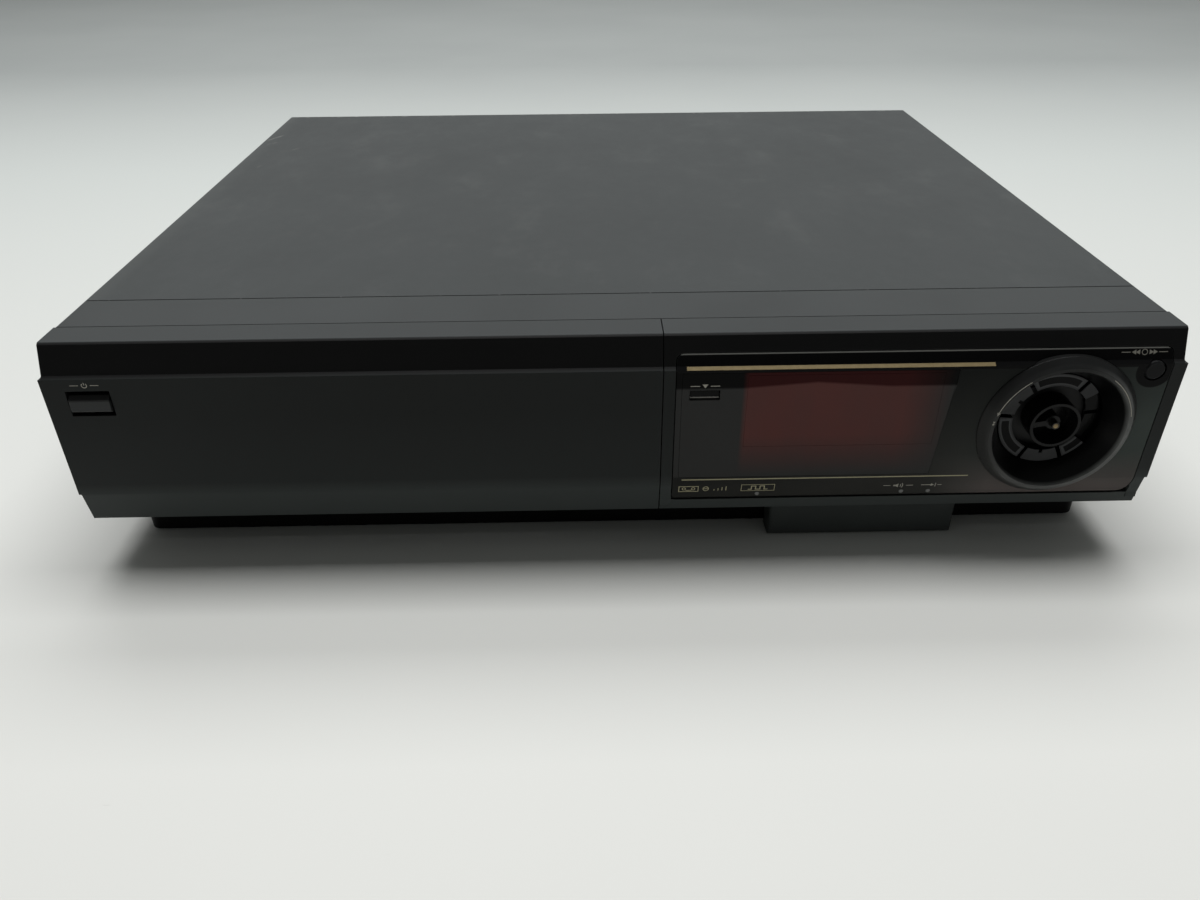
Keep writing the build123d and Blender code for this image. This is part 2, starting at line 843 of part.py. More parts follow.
with BuildPart() as mains_inlet:
    inlet_rear = rear_face + inlet_flange_thick
    inlet_back = inlet_rear - inlet_recess - inlet_wall
    half_inlet_width, half_inlet_height = inlet_width / 2, inlet_height / 2
    block(inlet_x - half_inlet_width, inlet_x + half_inlet_width, inlet_back, rear_face,
          inlet_z - half_inlet_height, inlet_z + half_inlet_height)
    block(inlet_x - half_inlet_width - inlet_flange, inlet_x + half_inlet_width + inlet_flange,
          rear_face, inlet_rear, inlet_z - half_inlet_height - inlet_flange,
          inlet_z + half_inlet_height + inlet_flange)
    with BuildSketch(facing(inlet_rear)) as recess:
        with Locations((inlet_x, inlet_z)):
            Rectangle(inlet_width - 2 * inlet_wall, inlet_height - 2 * inlet_wall)
        chamfer(recess.vertices().group_by(Axis.Y)[-1], inlet_corner)
    extrude(amount=inlet_recess, mode=Mode.SUBTRACT)
    with BuildSketch(facing(inlet_rear - inlet_recess + blade_length)):
        with Locations((inlet_x - blade_pitch, inlet_z - blade_drop), (inlet_x, inlet_z + blade_drop),
                       (inlet_x + blade_pitch, inlet_z - blade_drop)):
            Rectangle(blade_width, blade_height)
    extrude(amount=blade_length)


# ======================================================================================================
# Front mouldings
# ======================================================================================================
behind = 2 * lip_depth


def moulded_front(left, right, back_limit):
    """Hollow front moulding between two X values, open to the rear and below, with end walls."""
    face = front_line(lip_bevel, chin_drop, 0)
    strip_between(left, right, [(front_y + lip_depth, top_z), (front_y + lip_bevel, top_z)] + face
                  + [(front_y + lip_depth, chin_z)])
    under = chin_z - front_wall
    inner = [(front_y + behind, top_z - front_wall), (front_y + front_wall, top_z - front_wall)]
    inner += front_line(band_drop, chin_drop, front_wall)
    inner += [(front_y + front_wall, under), (front_y + behind, under)]
    strip_between(left + front_wall, right - front_wall, inner, Mode.SUBTRACT)
    block(left, right, back_limit, behind, under, top_z - front_wall, Mode.SUBTRACT)


def belt_end(start, end):
    """The raised belt where it runs past the end of the moulding."""
    line = front_line(ledge_drop, belt_drop, 0)
    back = [(front_y + door_return, top_z - belt_drop), (front_y + door_return, top_z - ledge_drop)]
    strip_between(start, end, line + back)


with BuildPart() as cassette_door:
    moulded_front(door_left, door_right, door_return)
    belt_end(-half_width, door_left)
    heel_edges = cassette_door.edges().filter_by(Axis.X).group_by(Axis.Z)[0].group_by(Axis.Y)[-1]
    fillet(heel_edges, door_heel)
    for arm_left, inward in ((door_left + door_arm_inset, 1), (door_right - door_arm_inset - door_arm, -1)):
        strip_between(arm_left, arm_left + door_arm, [
            (front_y - chin_out + front_wall / 2, chin_z),
            (door_axis_y, door_axis_z - door_pin_radius - door_hub),
            (door_axis_y + door_pin_radius + door_hub, door_axis_z - door_hub),
            (door_axis_y + door_pin_radius + door_hub, door_axis_z + door_hub),
            (door_axis_y, door_axis_z + door_pin_radius + door_hub),
            (front_y - belt_out + front_wall / 2, top_z - belt_drop + door_arm_rise),
        ])
        pin_left = arm_left + door_arm if inward > 0 else arm_left - door_pin_length
        bar_x(pin_left, door_pin_length, door_axis_y, door_axis_z, door_pin_radius)
    for third in (1, 2, 3):
        rib_left = slot_left + (slot_right - slot_left) * third / 4
        rib_line = front_line(slot_top_drop + door_rib_deep, belt_drop + door_rib_deep, front_wall / 2)
        strip_between(rib_left, rib_left + door_rib,
                      rib_line + [(y + door_rib_deep, z) for y, z in reversed(rib_line)])
    with BuildSketch(facing(behind)):
        with Locations((power_x, top_z - power_drop)):
            Rectangle(power_hole_width, power_hole_height)
    extrude(amount=2 * behind, mode=Mode.SUBTRACT)


def panel_outline(gap, mode=Mode.ADD):
    """Outline of the control door as (X, Z), smaller by gap all round."""
    left, right = panel_left + gap, panel_right - gap
    high, low = top_z - panel_top_drop - gap, top_z - panel_bottom_drop + gap
    corners = [panel_top_corner, panel_top_corner, panel_right_corner, panel_left_corner]
    corners = [max(corner - gap, panel_gap) for corner in corners]
    with BuildLine() as outline:
        FilletPolyline((left, high), (right, high), (right, low), (left, low), radius=corners, close=True)
    make_face(outline.edges(), mode=mode)


with BuildPart() as right_fascia:
    moulded_front(fascia_left, body_half, frame_wall_at)
    belt_end(body_half, half_width)
    for boss_left, boss_right in ((fascia_left, panel_left), (panel_right, body_half)):
        strip_between(boss_left, boss_right, [
            (panel_axis_y - panel_round + barrel_clearance, panel_axis_z - fascia_boss),
            (panel_axis_y + fascia_boss, panel_axis_z - fascia_boss),
            (panel_axis_y + fascia_boss, panel_axis_z + fascia_boss),
            (panel_axis_y - panel_round + barrel_clearance, panel_axis_z + fascia_boss),
        ])
    with BuildSketch(facing(panel_back + panel_rib)):
        panel_outline(-panel_gap / 2)
    extrude(amount=behind, mode=Mode.SUBTRACT)
    bar_x(fascia_left, body_half - fascia_left - panel_rib, panel_axis_y, panel_axis_z,
          panel_pin_radius + pin_clearance, Mode.SUBTRACT)
    bar_x(panel_left, panel_right - panel_left, panel_axis_y, panel_axis_z, panel_round + barrel_clearance,
          Mode.SUBTRACT)

belt_plane = Plane(origin=(0, front_y - dial_out, top_z - dial_drop), x_dir=(1, 0, 0),
                   z_dir=(0, -cos(tilt), -sin(tilt)))


def on_belt(x, drop):
    """Place on the belt plane for an X and a drop below the top."""
    return (x, (dial_drop - drop) / cos(tilt))


def belt_cut(place, width, height, depth):
    """Cut a rectangular hole in the belt."""
    with BuildSketch(belt_plane) as hole:
        with Locations(place):
            Rectangle(width, height)
    extrude(hole.sketch, amount=-depth, mode=Mode.SUBTRACT)


def belt_disc(place, radius, low, high, mode=Mode.ADD):
    """A disc square to the belt between two heights above its face."""
    with BuildSketch(belt_plane.offset(low)) as disc:
        with Locations(place):
            Circle(radius)
    extrude(disc.sketch, amount=high - low, mode=mode)


dial_place = on_belt(dial_x, dial_drop)
latch_place = on_belt(latch_x, latch_drop)
round_place = on_belt(round_x, round_drop)
filter_place = on_belt((filter_left + filter_right) / 2, (filter_top_drop + filter_bottom_drop) / 2)
display_width = filter_right - filter_left + 2 * display_border
display_height = filter_bottom_drop - filter_top_drop + display_border
display_place = on_belt((filter_left + filter_right) / 2,
                        (filter_top_drop + filter_bottom_drop + display_border) / 2)
window_outline = [on_belt(window_left, window_top_drop), on_belt(window_right, window_top_drop),
                  on_belt(window_right - window_slant, window_bottom_drop),
                  on_belt(window_left, window_bottom_drop)]
clear_ahead = 2 * rim_height

with BuildPart() as control_door:
    skin = front_line(panel_top_drop, panel_axis_drop, 0)
    strip_between(panel_left, panel_right, skin + [(y + panel_plate, z) for y, z in reversed(skin)])
    bar_x(panel_left, panel_right - panel_left, panel_axis_y, panel_axis_z, panel_round)
    for rib_right in (panel_left + panel_gap + panel_rib, filter_left - panel_rib, panel_right - panel_gap):
        rib_line = front_line(panel_top_drop + panel_top_corner, panel_axis_drop, panel_plate / 2)
        strip_between(rib_right - panel_rib, rib_right,
                      rib_line + [(y + panel_plate / 2 + panel_rib_deep, z) for y, z in reversed(rib_line)])
    with BuildSketch(facing(behind)):
        panel_outline(panel_gap / 2)
    extrude(amount=2 * behind, mode=Mode.INTERSECT)
    belt_disc(dial_place, collar_radius + window_gap / 2, -collar_seat, clear_ahead, Mode.SUBTRACT)
    belt_disc(dial_place, rim_inner + stem_clearance, -2 * panel_plate, clear_ahead, Mode.SUBTRACT)
    pin_length = panel_pin_length + panel_pin_root
    bar_x(panel_left + panel_gap / 2 - panel_pin_length, pin_length, panel_axis_y, panel_axis_z,
          panel_pin_radius)
    bar_x(panel_right - panel_gap / 2 - panel_pin_root, pin_length, panel_axis_y, panel_axis_z,
          panel_pin_radius)
    with BuildSketch(belt_plane):
        with BuildLine():
            Polyline(*window_outline, close=True)
        make_face()
    extrude(amount=-window_thick, mode=Mode.SUBTRACT)
    belt_cut(display_place, display_width, display_height, 2 * panel_plate)
    belt_cut(latch_place, latch_width, latch_height, 2 * panel_plate)
    belt_disc(round_place, round_radius + button_gap, -2 * panel_plate, clear_ahead, Mode.SUBTRACT)

with BuildPart() as display_window:
    with BuildSketch(belt_plane):
        with BuildLine():
            Polyline(*window_outline, close=True)
        make_face()
        offset(amount=-window_gap, kind=Kind.INTERSECTION)
        with Locations(filter_place):
            Rectangle(filter_right - filter_left, filter_bottom_drop - filter_top_drop, mode=Mode.SUBTRACT)
        with Locations(latch_place):
            Rectangle(latch_width, latch_height, mode=Mode.SUBTRACT)
    extrude(amount=-window_thick)

with BuildPart() as display_filter:
    with BuildSketch(belt_plane):
        with Locations(filter_place):
            Rectangle(filter_right - filter_left - window_gap,
                      filter_bottom_drop - filter_top_drop - window_gap)
    extrude(amount=-window_thick)

with BuildPart() as display_module:
    with BuildSketch(belt_plane.offset(-window_thick)):
        with Locations(display_place):
            Rectangle(display_width - 2 * display_gap, display_height - 2 * display_gap)
    extrude(amount=-display_thick)
    with BuildSketch(belt_plane.offset(-window_thick - display_thick)):
        with Locations(display_place):
            with GridLocations(display_width / display_pins, 1, display_pins, 1):
                Rectangle(display_pin_width, display_pin_length)
    extrude(amount=-display_pin_length)


# ======================================================================================================
# Dial: collar, shuttle carrier, jog hub and the encoder behind them
# ======================================================================================================
def dial_level(height):
    """Plane square to the dial's axis at a height above the belt."""
    return Plane(origin=belt_plane.from_local_coords(Vector(dial_place[0], dial_place[1], height)),
                 x_dir=(1, 0, 0), z_dir=belt_plane.z_dir)


def ring(low, high, outer, inner):
    """A ring round the dial's axis, inside the open part."""
    with BuildSketch(dial_level(low)) as section:
        Circle(outer)
        Circle(inner, mode=Mode.SUBTRACT)
    extrude(section.sketch, amount=high - low)


# Half section of the dial: x is the distance from its axis and y the height above the belt.
dial_section = Plane(origin=dial_level(0).origin, x_dir=(1, 0, 0), z_dir=(0, sin(tilt), -cos(tilt)))
dial_axis = Axis(dial_level(0).origin, belt_plane.z_dir)

with BuildPart() as dial_collar:
    with BuildSketch(dial_section):
        with BuildLine():
            Polyline((rim_inner, rim_height), (well_radius, -carrier_face),
                     (well_radius, -well_depth), (well_radius + well_wall, -well_depth),
                     (well_radius + well_wall, -carrier_face - well_wall), (rim_inner, -collar_seat),
                     (collar_radius, -collar_seat), (collar_radius, collar_base),
                     (rim_outer, rim_height - rim_bevel), (rim_outer - rim_bevel, rim_height), close=True)
        make_face()
    revolve(axis=dial_axis)

with BuildPart() as encoder_body:
    ring(-well_depth - encoder_thick, -well_depth, encoder_radius, jog_shaft_radius + turn_clearance)

sector_reach = 2 * carrier_radius
sector_half = sector_reach * tan(radians(60 - segment_angle / 2))
with BuildPart() as shuttle_carrier:
    ring(-carrier_back, -carrier_face, carrier_radius, carrier_bore)
    with BuildSketch(dial_level(-carrier_face)):
        with PolarLocations(0, 3, 90):
            with BuildLine() as sector:
                Polyline((0, 0), (sector_reach, sector_half), (sector_reach, -sector_half), close=True)
            make_face(sector.edges())
    extrude(amount=carrier_face - carrier_low_face, mode=Mode.SUBTRACT)
    with BuildSketch(dial_level(-carrier_face)):
        for start in (30 - segment_angle / 2, 30 + segment_angle / 2):
            with PolarLocations(carrier_radius, 3, start):
                Rectangle(carrier_radius, carrier_slot)
        with PolarLocations(carrier_bore, 3, 30):
            Rectangle(2 * carrier_notch, carrier_notch)
    extrude(amount=carrier_face - carrier_slot_face, mode=Mode.SUBTRACT)

with BuildPart() as jog_hub:
    ring(-hub_back, -hub_back + hub_floor, hub_radius, jog_shaft_radius)
    ring(-hub_back + hub_floor, 0, hub_radius, hub_radius - hub_wall)
    ring(-hub_back + hub_floor, -hub_boss_drop, hub_boss, jog_shaft_radius)
    with BuildSketch(dial_level(-hub_back + hub_floor)):
        with PolarLocations((hub_radius - hub_wall + hub_boss) / 2, 1, hub_spoke_angle):
            Rectangle(hub_radius - hub_wall / 2 - hub_boss + hub_wall / 2, hub_spoke)
    extrude(amount=hub_back - hub_floor - hub_boss_drop)

with BuildPart() as jog_shaft:
    with BuildSketch(dial_level(-well_depth - encoder_thick - jog_shaft_tail)):
        Circle(jog_shaft_radius)
    extrude(amount=well_depth + encoder_thick + jog_shaft_tail + jog_shaft_out)

# ======================================================================================================
# Buttons
# ======================================================================================================
with BuildPart() as open_button:
    with BuildSketch(belt_plane.offset(-panel_plate - latch_travel / 2)):
        with Locations(latch_place):
            Rectangle(latch_width - 2 * button_gap, latch_height - 2 * button_gap)
    extrude(amount=panel_plate + latch_travel / 2 - latch_sunk)
    chamfer(open_button.edges().group_by(Axis.Y)[0], button_edge)
    with BuildSketch(belt_plane.offset(-panel_plate - latch_travel / 2)):
        with Locations(latch_place):
            Rectangle(latch_width + 2 * button_flange, latch_height + 2 * button_flange)
    extrude(amount=-button_flange_thick)

with BuildPart() as jog_shuttle_button:
    belt_disc(round_place, round_radius, -panel_plate - round_travel / 2, round_proud)
    chamfer(jog_shuttle_button.edges().group_by(Axis.Y)[0], round_edge)

power_z = top_z - power_drop
switch_hole_deep = power_stem_in + power_travel
with BuildPart() as power_button:
    with BuildSketch(facing(power_cap_rear)):
        with Locations((power_x, power_z)):
            Rectangle(power_cap_width, power_cap_height)
    extrude(amount=power_cap_rear + front_out(power_drop) + power_out)
    front_edges = power_button.edges().group_by(Axis.Y)[0]
    chamfer(front_edges.group_by(Axis.Z)[-1], power_bevel)
    chamfer(power_button.edges().group_by(Axis.Y)[0].group_by(Axis.Z)[0], power_edge)
    with BuildSketch(facing(power_cap_rear)):
        with Locations((power_x, power_z)):
            Circle(key_stem_radius)
    extrude(amount=power_cap_rear - frame_rear - power_stem_in)

with BuildPart() as power_switch:
    half_switch = power_switch_size / 2
    block(power_x - half_switch, power_x + half_switch, frame_rear, frame_rear + power_switch_size,
          power_z - half_switch, power_z + half_switch)
    with BuildSketch(facing(frame_rear + switch_hole_deep + stem_clearance)):
        with Locations((power_x, power_z)):
            Circle(key_stem_radius + stem_clearance)
    extrude(amount=switch_hole_deep + stem_clearance, mode=Mode.SUBTRACT)

key_rows = {0: ("rewind", "play", "fast_forward", "eject"), 1: ("pause", "stop", "record")}
key_places = {name: (key_panel_left + key_first + column * key_pitch,
                     top_z - key_top_drop - row * key_row_pitch)
              for row, names in key_rows.items() for column, name in enumerate(names)}
key_back = key_panel_front + key_wall + key_flange

with BuildPart() as key_panel:
    block(key_panel_left, key_panel_right, key_panel_front, frame_wall_at, top_z - key_panel_bottom,
          top_z - key_panel_top)
    chamfer(key_panel.edges().filter_by(Axis.Y), key_panel_corner)
    block(key_panel_left + key_wall, key_panel_right - key_wall, key_panel_front + key_wall, behind,
          top_z - key_panel_bottom + key_wall, top_z - key_panel_top - key_wall, Mode.SUBTRACT)
    with BuildSketch(facing(key_panel_front + key_wall)):
        with Locations(*key_places.values()):
            Rectangle(key_width, key_height)
    extrude(amount=key_wall, mode=Mode.SUBTRACT)


def transport_key(x, z):
    """A transport key with its cap in the panel and its stem reaching for the front board's switch."""
    with BuildPart() as key:
        with BuildSketch(facing(key_back)):
            with Locations((x, z)):
                Rectangle(key_width - 2 * button_gap, key_height - 2 * button_gap)
        extrude(amount=key_back - key_panel_front + key_proud)
        chamfer(key.edges().group_by(Axis.Y)[0], key_edge)
        block(x - key_stem_width / 2, x + key_stem_width / 2, key_back,
              front_board_at - switch_height - key_travel - key_rest, z - key_stem_height / 2,
              z + key_stem_height / 2)
    return key


keys = {f"{name}_key": transport_key(x, z) for name, (x, z) in key_places.items()}

with BuildPart() as front_board:
    block(front_board_left, front_board_right, front_board_at, front_board_at + board_thick,
          front_board_low, front_board_high)
    with BuildSketch(facing(front_board_at)):
        with Locations(*key_places.values()):
            Rectangle(switch_size, switch_size)
    extrude(amount=switch_height)

# ======================================================================================================
# Cassette slot and carriage
# ======================================================================================================
flap_axis_y = front_y + flap_back
flap_axis_z = slot_high - flap_gap - flap_pin_radius
flap_left = slot_left + flap_gap
flap_right = slot_right - flap_gap
flap_front = flap_axis_y - flap_thick / 2
flap_face = flap_front + flap_thick
flap_low = slot_bottom + flap_lift

with BuildPart() as slot_flap:
    strip_between(flap_left, flap_right, [(flap_front, flap_axis_z), (flap_face, flap_axis_z),
                                          (flap_face, flap_low), (flap_front, flap_low)])
    bar_x(flap_left - flap_gap - tunnel_wall + stem_clearance,
          flap_right - flap_left + 2 * (flap_gap + tunnel_wall - stem_clearance),
          flap_axis_y, flap_axis_z, flap_pin_radius)
    for number in range(flap_ribs):
        rib_left = flap_left + (flap_right - flap_left) * (number + 1) / (flap_ribs + 1)
        strip_between(rib_left, rib_left + flap_rib, [
            (flap_face, flap_axis_z - flap_rib_end),
            (flap_face + flap_rib, flap_axis_z - flap_rib_end - flap_rib),
            (flap_face + flap_rib, flap_low + flap_rib_end),
            (flap_face, flap_low + flap_rib_end - flap_rib),
        ])

guide_depths = (load_front + arm_pin_inset, load_rear - arm_pin_inset)
slide_depths = (load_front + slide_pin_inset, load_rear - slide_pin_inset)
bridge_low = holder_high + bridge_gap

with BuildPart() as cassette_holder:
    block(slot_x - holder_half, slot_x + holder_half, holder_front, holder_rear, holder_low, holder_high)
    block(slot_x - holder_half + holder_sheet, slot_x + holder_half - holder_sheet, holder_front,
          holder_rear - holder_sheet, holder_low + holder_sheet, holder_high - holder_sheet, Mode.SUBTRACT)
    with BuildSketch(Plane.XY.offset(holder_low)):
        with Locations((slot_x, front_y + holder_front + holder_ledge)):
            Rectangle(2 * (holder_half - holder_edge), holder_depth, align=(Align.CENTER, Align.MIN))
        with Locations(*[(slot_x + side * reel_half_pitch, front_y + reel_back - load_travel)
                         for side in (-1, 1)]):
            Circle(reel_gap_radius)
    extrude(amount=holder_sheet, mode=Mode.SUBTRACT)
    block(slot_x - holder_half + holder_edge, slot_x + holder_half - holder_edge,
          holder_rear - 2 * holder_sheet, holder_rear, holder_low, holder_high - arm_skirt, Mode.SUBTRACT)
    with BuildSketch(Plane.XY.offset(holder_high)):
        with Locations((slot_x, front_y + holder_front + holder_depth / 2)):
            with GridLocations(slot_width * 3 / 10, 1, 3, 1):
                Rectangle(holder_window, holder_window_deep)
    extrude(amount=-holder_sheet, mode=Mode.SUBTRACT)
    for depth in guide_depths:
        pin_reach = arm_gap + arm_sheet + arm_gap / 2
        bar_x(slot_x + holder_half, pin_reach, front_y + depth, guide_z, guide_pin_radius)
        bar_x(slot_x - holder_half - pin_reach, pin_reach, front_y + depth, guide_z, guide_pin_radius)

with BuildPart() as loading_slider:
    guide_slot = 2 * (guide_pin_radius + slot_clearance)
    for side in (-1, 1):
        inner, outer = sorted((slot_x + side * arm_in, slot_x + side * arm_out))
        block(inner, outer, load_front, load_rear, arm_low, arm_high)
        block(inner, outer, load_front + bridge_inset, load_rear - bridge_inset, arm_high, bridge_low)
        for depth in guide_depths:
            block(inner, outer, depth - guide_slot / 2, depth + guide_slot / 2,
                  guide_z - holder_lift - guide_slot / 2, guide_z + guide_slot / 2, Mode.SUBTRACT)
        for depth in slide_depths:
            pin_reach = arm_gap + side_sheet + slide_pin_end
            pin_left = outer if side > 0 else inner - pin_reach
            bar_x(pin_left, pin_reach, front_y + depth, slide_z, slide_pin_radius)
    block(slot_x - arm_out, slot_x + arm_out, load_front + bridge_inset, load_rear - bridge_inset,
          bridge_low, bridge_low + arm_sheet)


def side_plate(side):
    """Side plate of the cassette carriage with its straight slot and folded feet."""
    slide_slot = 2 * (slide_pin_radius + slot_clearance)
    inner, outer = sorted((slot_x + side * side_in, slot_x + side * (side_in + side_sheet)))
    with BuildPart() as plate:
        strip_between(inner, outer, [
            (front_y + deck_front, deck_top), (front_y + side_rear, deck_top),
            (front_y + side_rear, side_top - side_step), (front_y + side_rear - side_bevel, side_top),
            (front_y + deck_front, side_top)])
        block(inner, outer, slide_depths[0] - slide_slot / 2, slide_depths[1] + load_travel + slide_slot / 2,
              slide_z - slide_slot / 2, slide_z + slide_slot / 2, Mode.SUBTRACT)
        block(inner, outer, side_window_at - side_window_length / 2, side_window_at + side_window_length / 2,
              deck_top + side_window_lift, deck_top + side_window_lift + side_window_height, Mode.SUBTRACT)
        foot_left, foot_right = sorted((slot_x + side * side_in, slot_x + side * (side_in + side_foot)))
        for foot_near in (deck_front + 2 * side_foot_inset, side_rear - side_foot_inset - side_foot_length):
            block(foot_left, foot_right, foot_near, foot_near + side_foot_length, deck_top,
                  deck_top + side_sheet)
    return plate


side_plate_left = side_plate(-1)
side_plate_right = side_plate(1)

# ======================================================================================================
# Tape deck
# ======================================================================================================
reel_places = {"supply_reel": (slot_x - reel_half_pitch, front_y + reel_back),
               "take_up_reel": (slot_x + reel_half_pitch, front_y + reel_back)}

with BuildPart() as deck_plate:
    block(slot_x - deck_half, slot_x + deck_half, deck_front, deck_rear, deck_bottom, deck_top)
    upright(capstan_place, capstan_sleeve + slot_clearance, deck_bottom, deck_top, Mode.SUBTRACT)
    block(slot_x - reel_half_pitch, slot_x + reel_half_pitch, deck_front + deck_post_inset,
          load_rear - bridge_inset, deck_bottom, deck_top, Mode.SUBTRACT)
    for place in reel_places.values():
        upright(place, reel_shaft_radius, deck_top, deck_top + reel_height - 2 * reel_lift)
    upright(pinch_pivot, pivot_radius, deck_top, deck_top + pivot_rise)


def reel(place):
    """Reel table: a flange with a three-winged hub for the cassette's spool."""
    low = deck_top + reel_lift
    with BuildPart() as table:
        upright(place, reel_radius, low, low + reel_flange)
        with BuildSketch(Plane.XY.offset(low + reel_flange)) as hub:
            with Locations(place):
                Circle(reel_core)
                with PolarLocations(reel_core, 3):
                    Rectangle(2 * reel_wing, reel_wing_width)
        extrude(hub.sketch, amount=reel_height - 2 * reel_lift - reel_flange)
        upright(place, reel_shaft_radius + turn_clearance, low, deck_top + reel_height - reel_lift,
                Mode.SUBTRACT)
    return table


reels = {name: reel(place) for name, place in reel_places.items()}

drum_plane = Plane(origin=(slot_x, front_y + drum_back, deck_top + drum_lift), x_dir=(1, 0, 0),
                   z_dir=(0, sin(radians(drum_tilt)), cos(radians(drum_tilt))))
drum_top = drum_lower + drum_split + drum_upper

with BuildPart() as drum_base:
    with BuildSketch(drum_plane.offset(-2 * drum_lift)):
        Circle(drum_radius)
    extrude(amount=2 * drum_lift + drum_lower)
    split(bisect_by=Plane.XY.offset(deck_top), keep=Keep.TOP)
    with BuildSketch(drum_plane.offset(drum_lower)):
        Circle(drum_shaft_radius)
    extrude(amount=drum_top - drum_lower - drum_split)

with BuildPart() as drum_rotor:
    with BuildSketch(drum_plane.offset(drum_lower + drum_split)):
        Circle(drum_radius)
        Circle(drum_shaft_radius + turn_clearance, mode=Mode.SUBTRACT)
    extrude(amount=drum_upper)
    with BuildSketch(drum_plane.offset(drum_top)):
        Circle(drum_radius - drum_rim)
        Circle(drum_hub, mode=Mode.SUBTRACT)
    extrude(amount=-drum_recess, mode=Mode.SUBTRACT)
    with BuildSketch(drum_plane.offset(drum_lower + drum_split)):
        with PolarLocations(drum_radius, 2, drum_head_angle):
            Rectangle(head_width, head_length)
    extrude(amount=head_window, mode=Mode.SUBTRACT)

flywheel_top = deck_bottom - motor_plate - motor_gap
with BuildPart() as capstan_motor:
    with BuildSketch(Plane.XY.offset(deck_bottom)):
        with Locations(capstan_place):
            Rectangle(motor_plate_width, motor_plate_deep)
    extrude(amount=-motor_plate)
    upright(capstan_place, capstan_sleeve, deck_bottom, deck_top + capstan_sleeve_rise)
    upright(capstan_place, capstan_radius + turn_clearance, deck_bottom - motor_plate,
            deck_top + capstan_sleeve_rise, Mode.SUBTRACT)

with BuildPart() as capstan_flywheel:
    upright(capstan_place, flywheel_radius, flywheel_top - flywheel_thick, flywheel_top)
    upright(capstan_place, capstan_radius, flywheel_top, deck_top + capstan_rise)

pinch_arm_low = deck_top + pinch_arm_rise
pinch_arm_top = pinch_arm_low + pinch_arm_thick
arm_angle = degrees(atan2(pinch_place[1] - pinch_pivot[1], pinch_place[0] - pinch_pivot[0]))
with BuildPart() as pinch_arm:
    with BuildSketch(Plane.XY.offset(pinch_arm_low)):
        with BuildLine():
            arm_line = Line(pinch_pivot, pinch_place)
        with Locations(pinch_pivot, pinch_place):
            Circle(pinch_arm_width / 2)
        with Locations(arm_line @ 0.5):
            Rectangle(arm_line.length, pinch_arm_width, rotation=arm_angle)
    extrude(amount=pinch_arm_thick)
    upright(pinch_pivot, pinch_arm_width / 2, deck_top + reel_lift, deck_top + pinch_sleeve_rise)
    upright(pinch_pivot, pivot_radius + turn_clearance, deck_top + reel_lift, deck_top + pinch_sleeve_rise,
            Mode.SUBTRACT)
    upright(pinch_place, pinch_axle, pinch_arm_top, pinch_arm_top + pinch_height + pinch_axle_over)

with BuildPart() as pinch_roller:
    upright(pinch_place, pinch_radius, pinch_arm_top + reel_lift, pinch_arm_top + reel_lift + pinch_height)
    upright(pinch_place, pinch_axle + turn_clearance, pinch_arm_top + reel_lift,
            pinch_arm_top + reel_lift + pinch_height, Mode.SUBTRACT)

with BuildPart() as guide_posts:
    square_posts(guide_spots, guide_base, deck_top, deck_top + guide_base_height)
    for x, depth in guide_spots:
        upright((x, front_y + depth), guide_radius, deck_top + guide_base_height, deck_top + guide_height)


def tape_head(x, depth, base, base_height, core, core_height):
    """A fixed head standing on its bracket."""
    with BuildPart() as head:
        square_posts([(x, depth)], base, deck_top, deck_top + base_height)
        square_posts([(x, depth)], core, deck_top + base_height, deck_top + base_height + core_height)
        chamfer(head.edges().filter_by(Axis.Z).group_by(Axis.Y)[0], head_width / 2)
    return head


audio_control_head = tape_head(slot_x + head_x, head_back, head_base, head_base_height, head_block,
                               head_block_height)
erase_head = tape_head(slot_x + erase_x, head_back, erase_base, erase_base_height, erase_block,
                       erase_block_height)

loader_place = (slot_x + loader_x, deck_top + head_width + loader_radius)
with BuildPart() as loading_motor:
    loader_front = loader_rear - loader_length
    for radius, near, far in ((loader_radius, loader_front, loader_rear),
                              (loader_worm, loader_front - loader_worm_length, loader_front)):
        with BuildSketch(facing(far)):
            with Locations(loader_place):
                Circle(radius)
        extrude(amount=far - near)
    block(loader_place[0] - loader_saddle / 2, loader_place[0] + loader_saddle / 2,
          loader_front + loader_worm, loader_rear - loader_worm, deck_top, deck_top + loader_saddle_height)


# ======================================================================================================
# Electronics
# ======================================================================================================
def board(near, far, height, chip_width, chip_length, can_radius):
    """Circuit board with rows of chips and, where it has them, a row of capacitor cans between them."""
    width, length = board_right - board_left, far - near
    middle = ((board_left + board_right) / 2, front_y + (near + far) / 2)
    columns = max(1, int((width - 2 * chip_margin) / chip_pitch) + 1)
    rows = max(1, int((length - 2 * chip_margin) / chip_pitch) + 1)
    with BuildPart() as card:
        block(board_left, board_right, near, far, height, height + board_thick)
        with BuildSketch(Plane.XY.offset(height + board_thick)) as chips:
            with Locations(middle):
                with GridLocations(chip_pitch, chip_pitch, columns, rows):
                    Rectangle(chip_width, chip_length)
        extrude(chips.sketch, amount=chip_height)
        if can_radius:
            with BuildSketch(Plane.XY.offset(height + board_thick)) as cans:
                with Locations((middle[0], middle[1] + chip_pitch / 2 * (1 - rows % 2))):
                    with GridLocations(chip_pitch, 1, columns - 1, 1):
                        Circle(can_radius)
            extrude(cans.sketch, amount=can_height)
    return card


main_board = board(main_front, main_rear, board_height, main_chip_width, main_chip_length, main_can)
tbc_board = board(main_front, main_rear, tbc_height, tbc_chip_width, tbc_chip_length, 0)
power_board = board(supply_front, supply_rear, board_height, power_chip_width, power_chip_length,
                    power_can)
board_top = board_height + board_thick

with BuildPart() as board_spacers:
    with BuildSketch(Plane.XY.offset(board_top)):
        with Locations(*[(x, front_y + depth) for x, depth in main_posts]):
            RegularPolygon(spacer_radius, 6)
    extrude(amount=tbc_height - board_top)

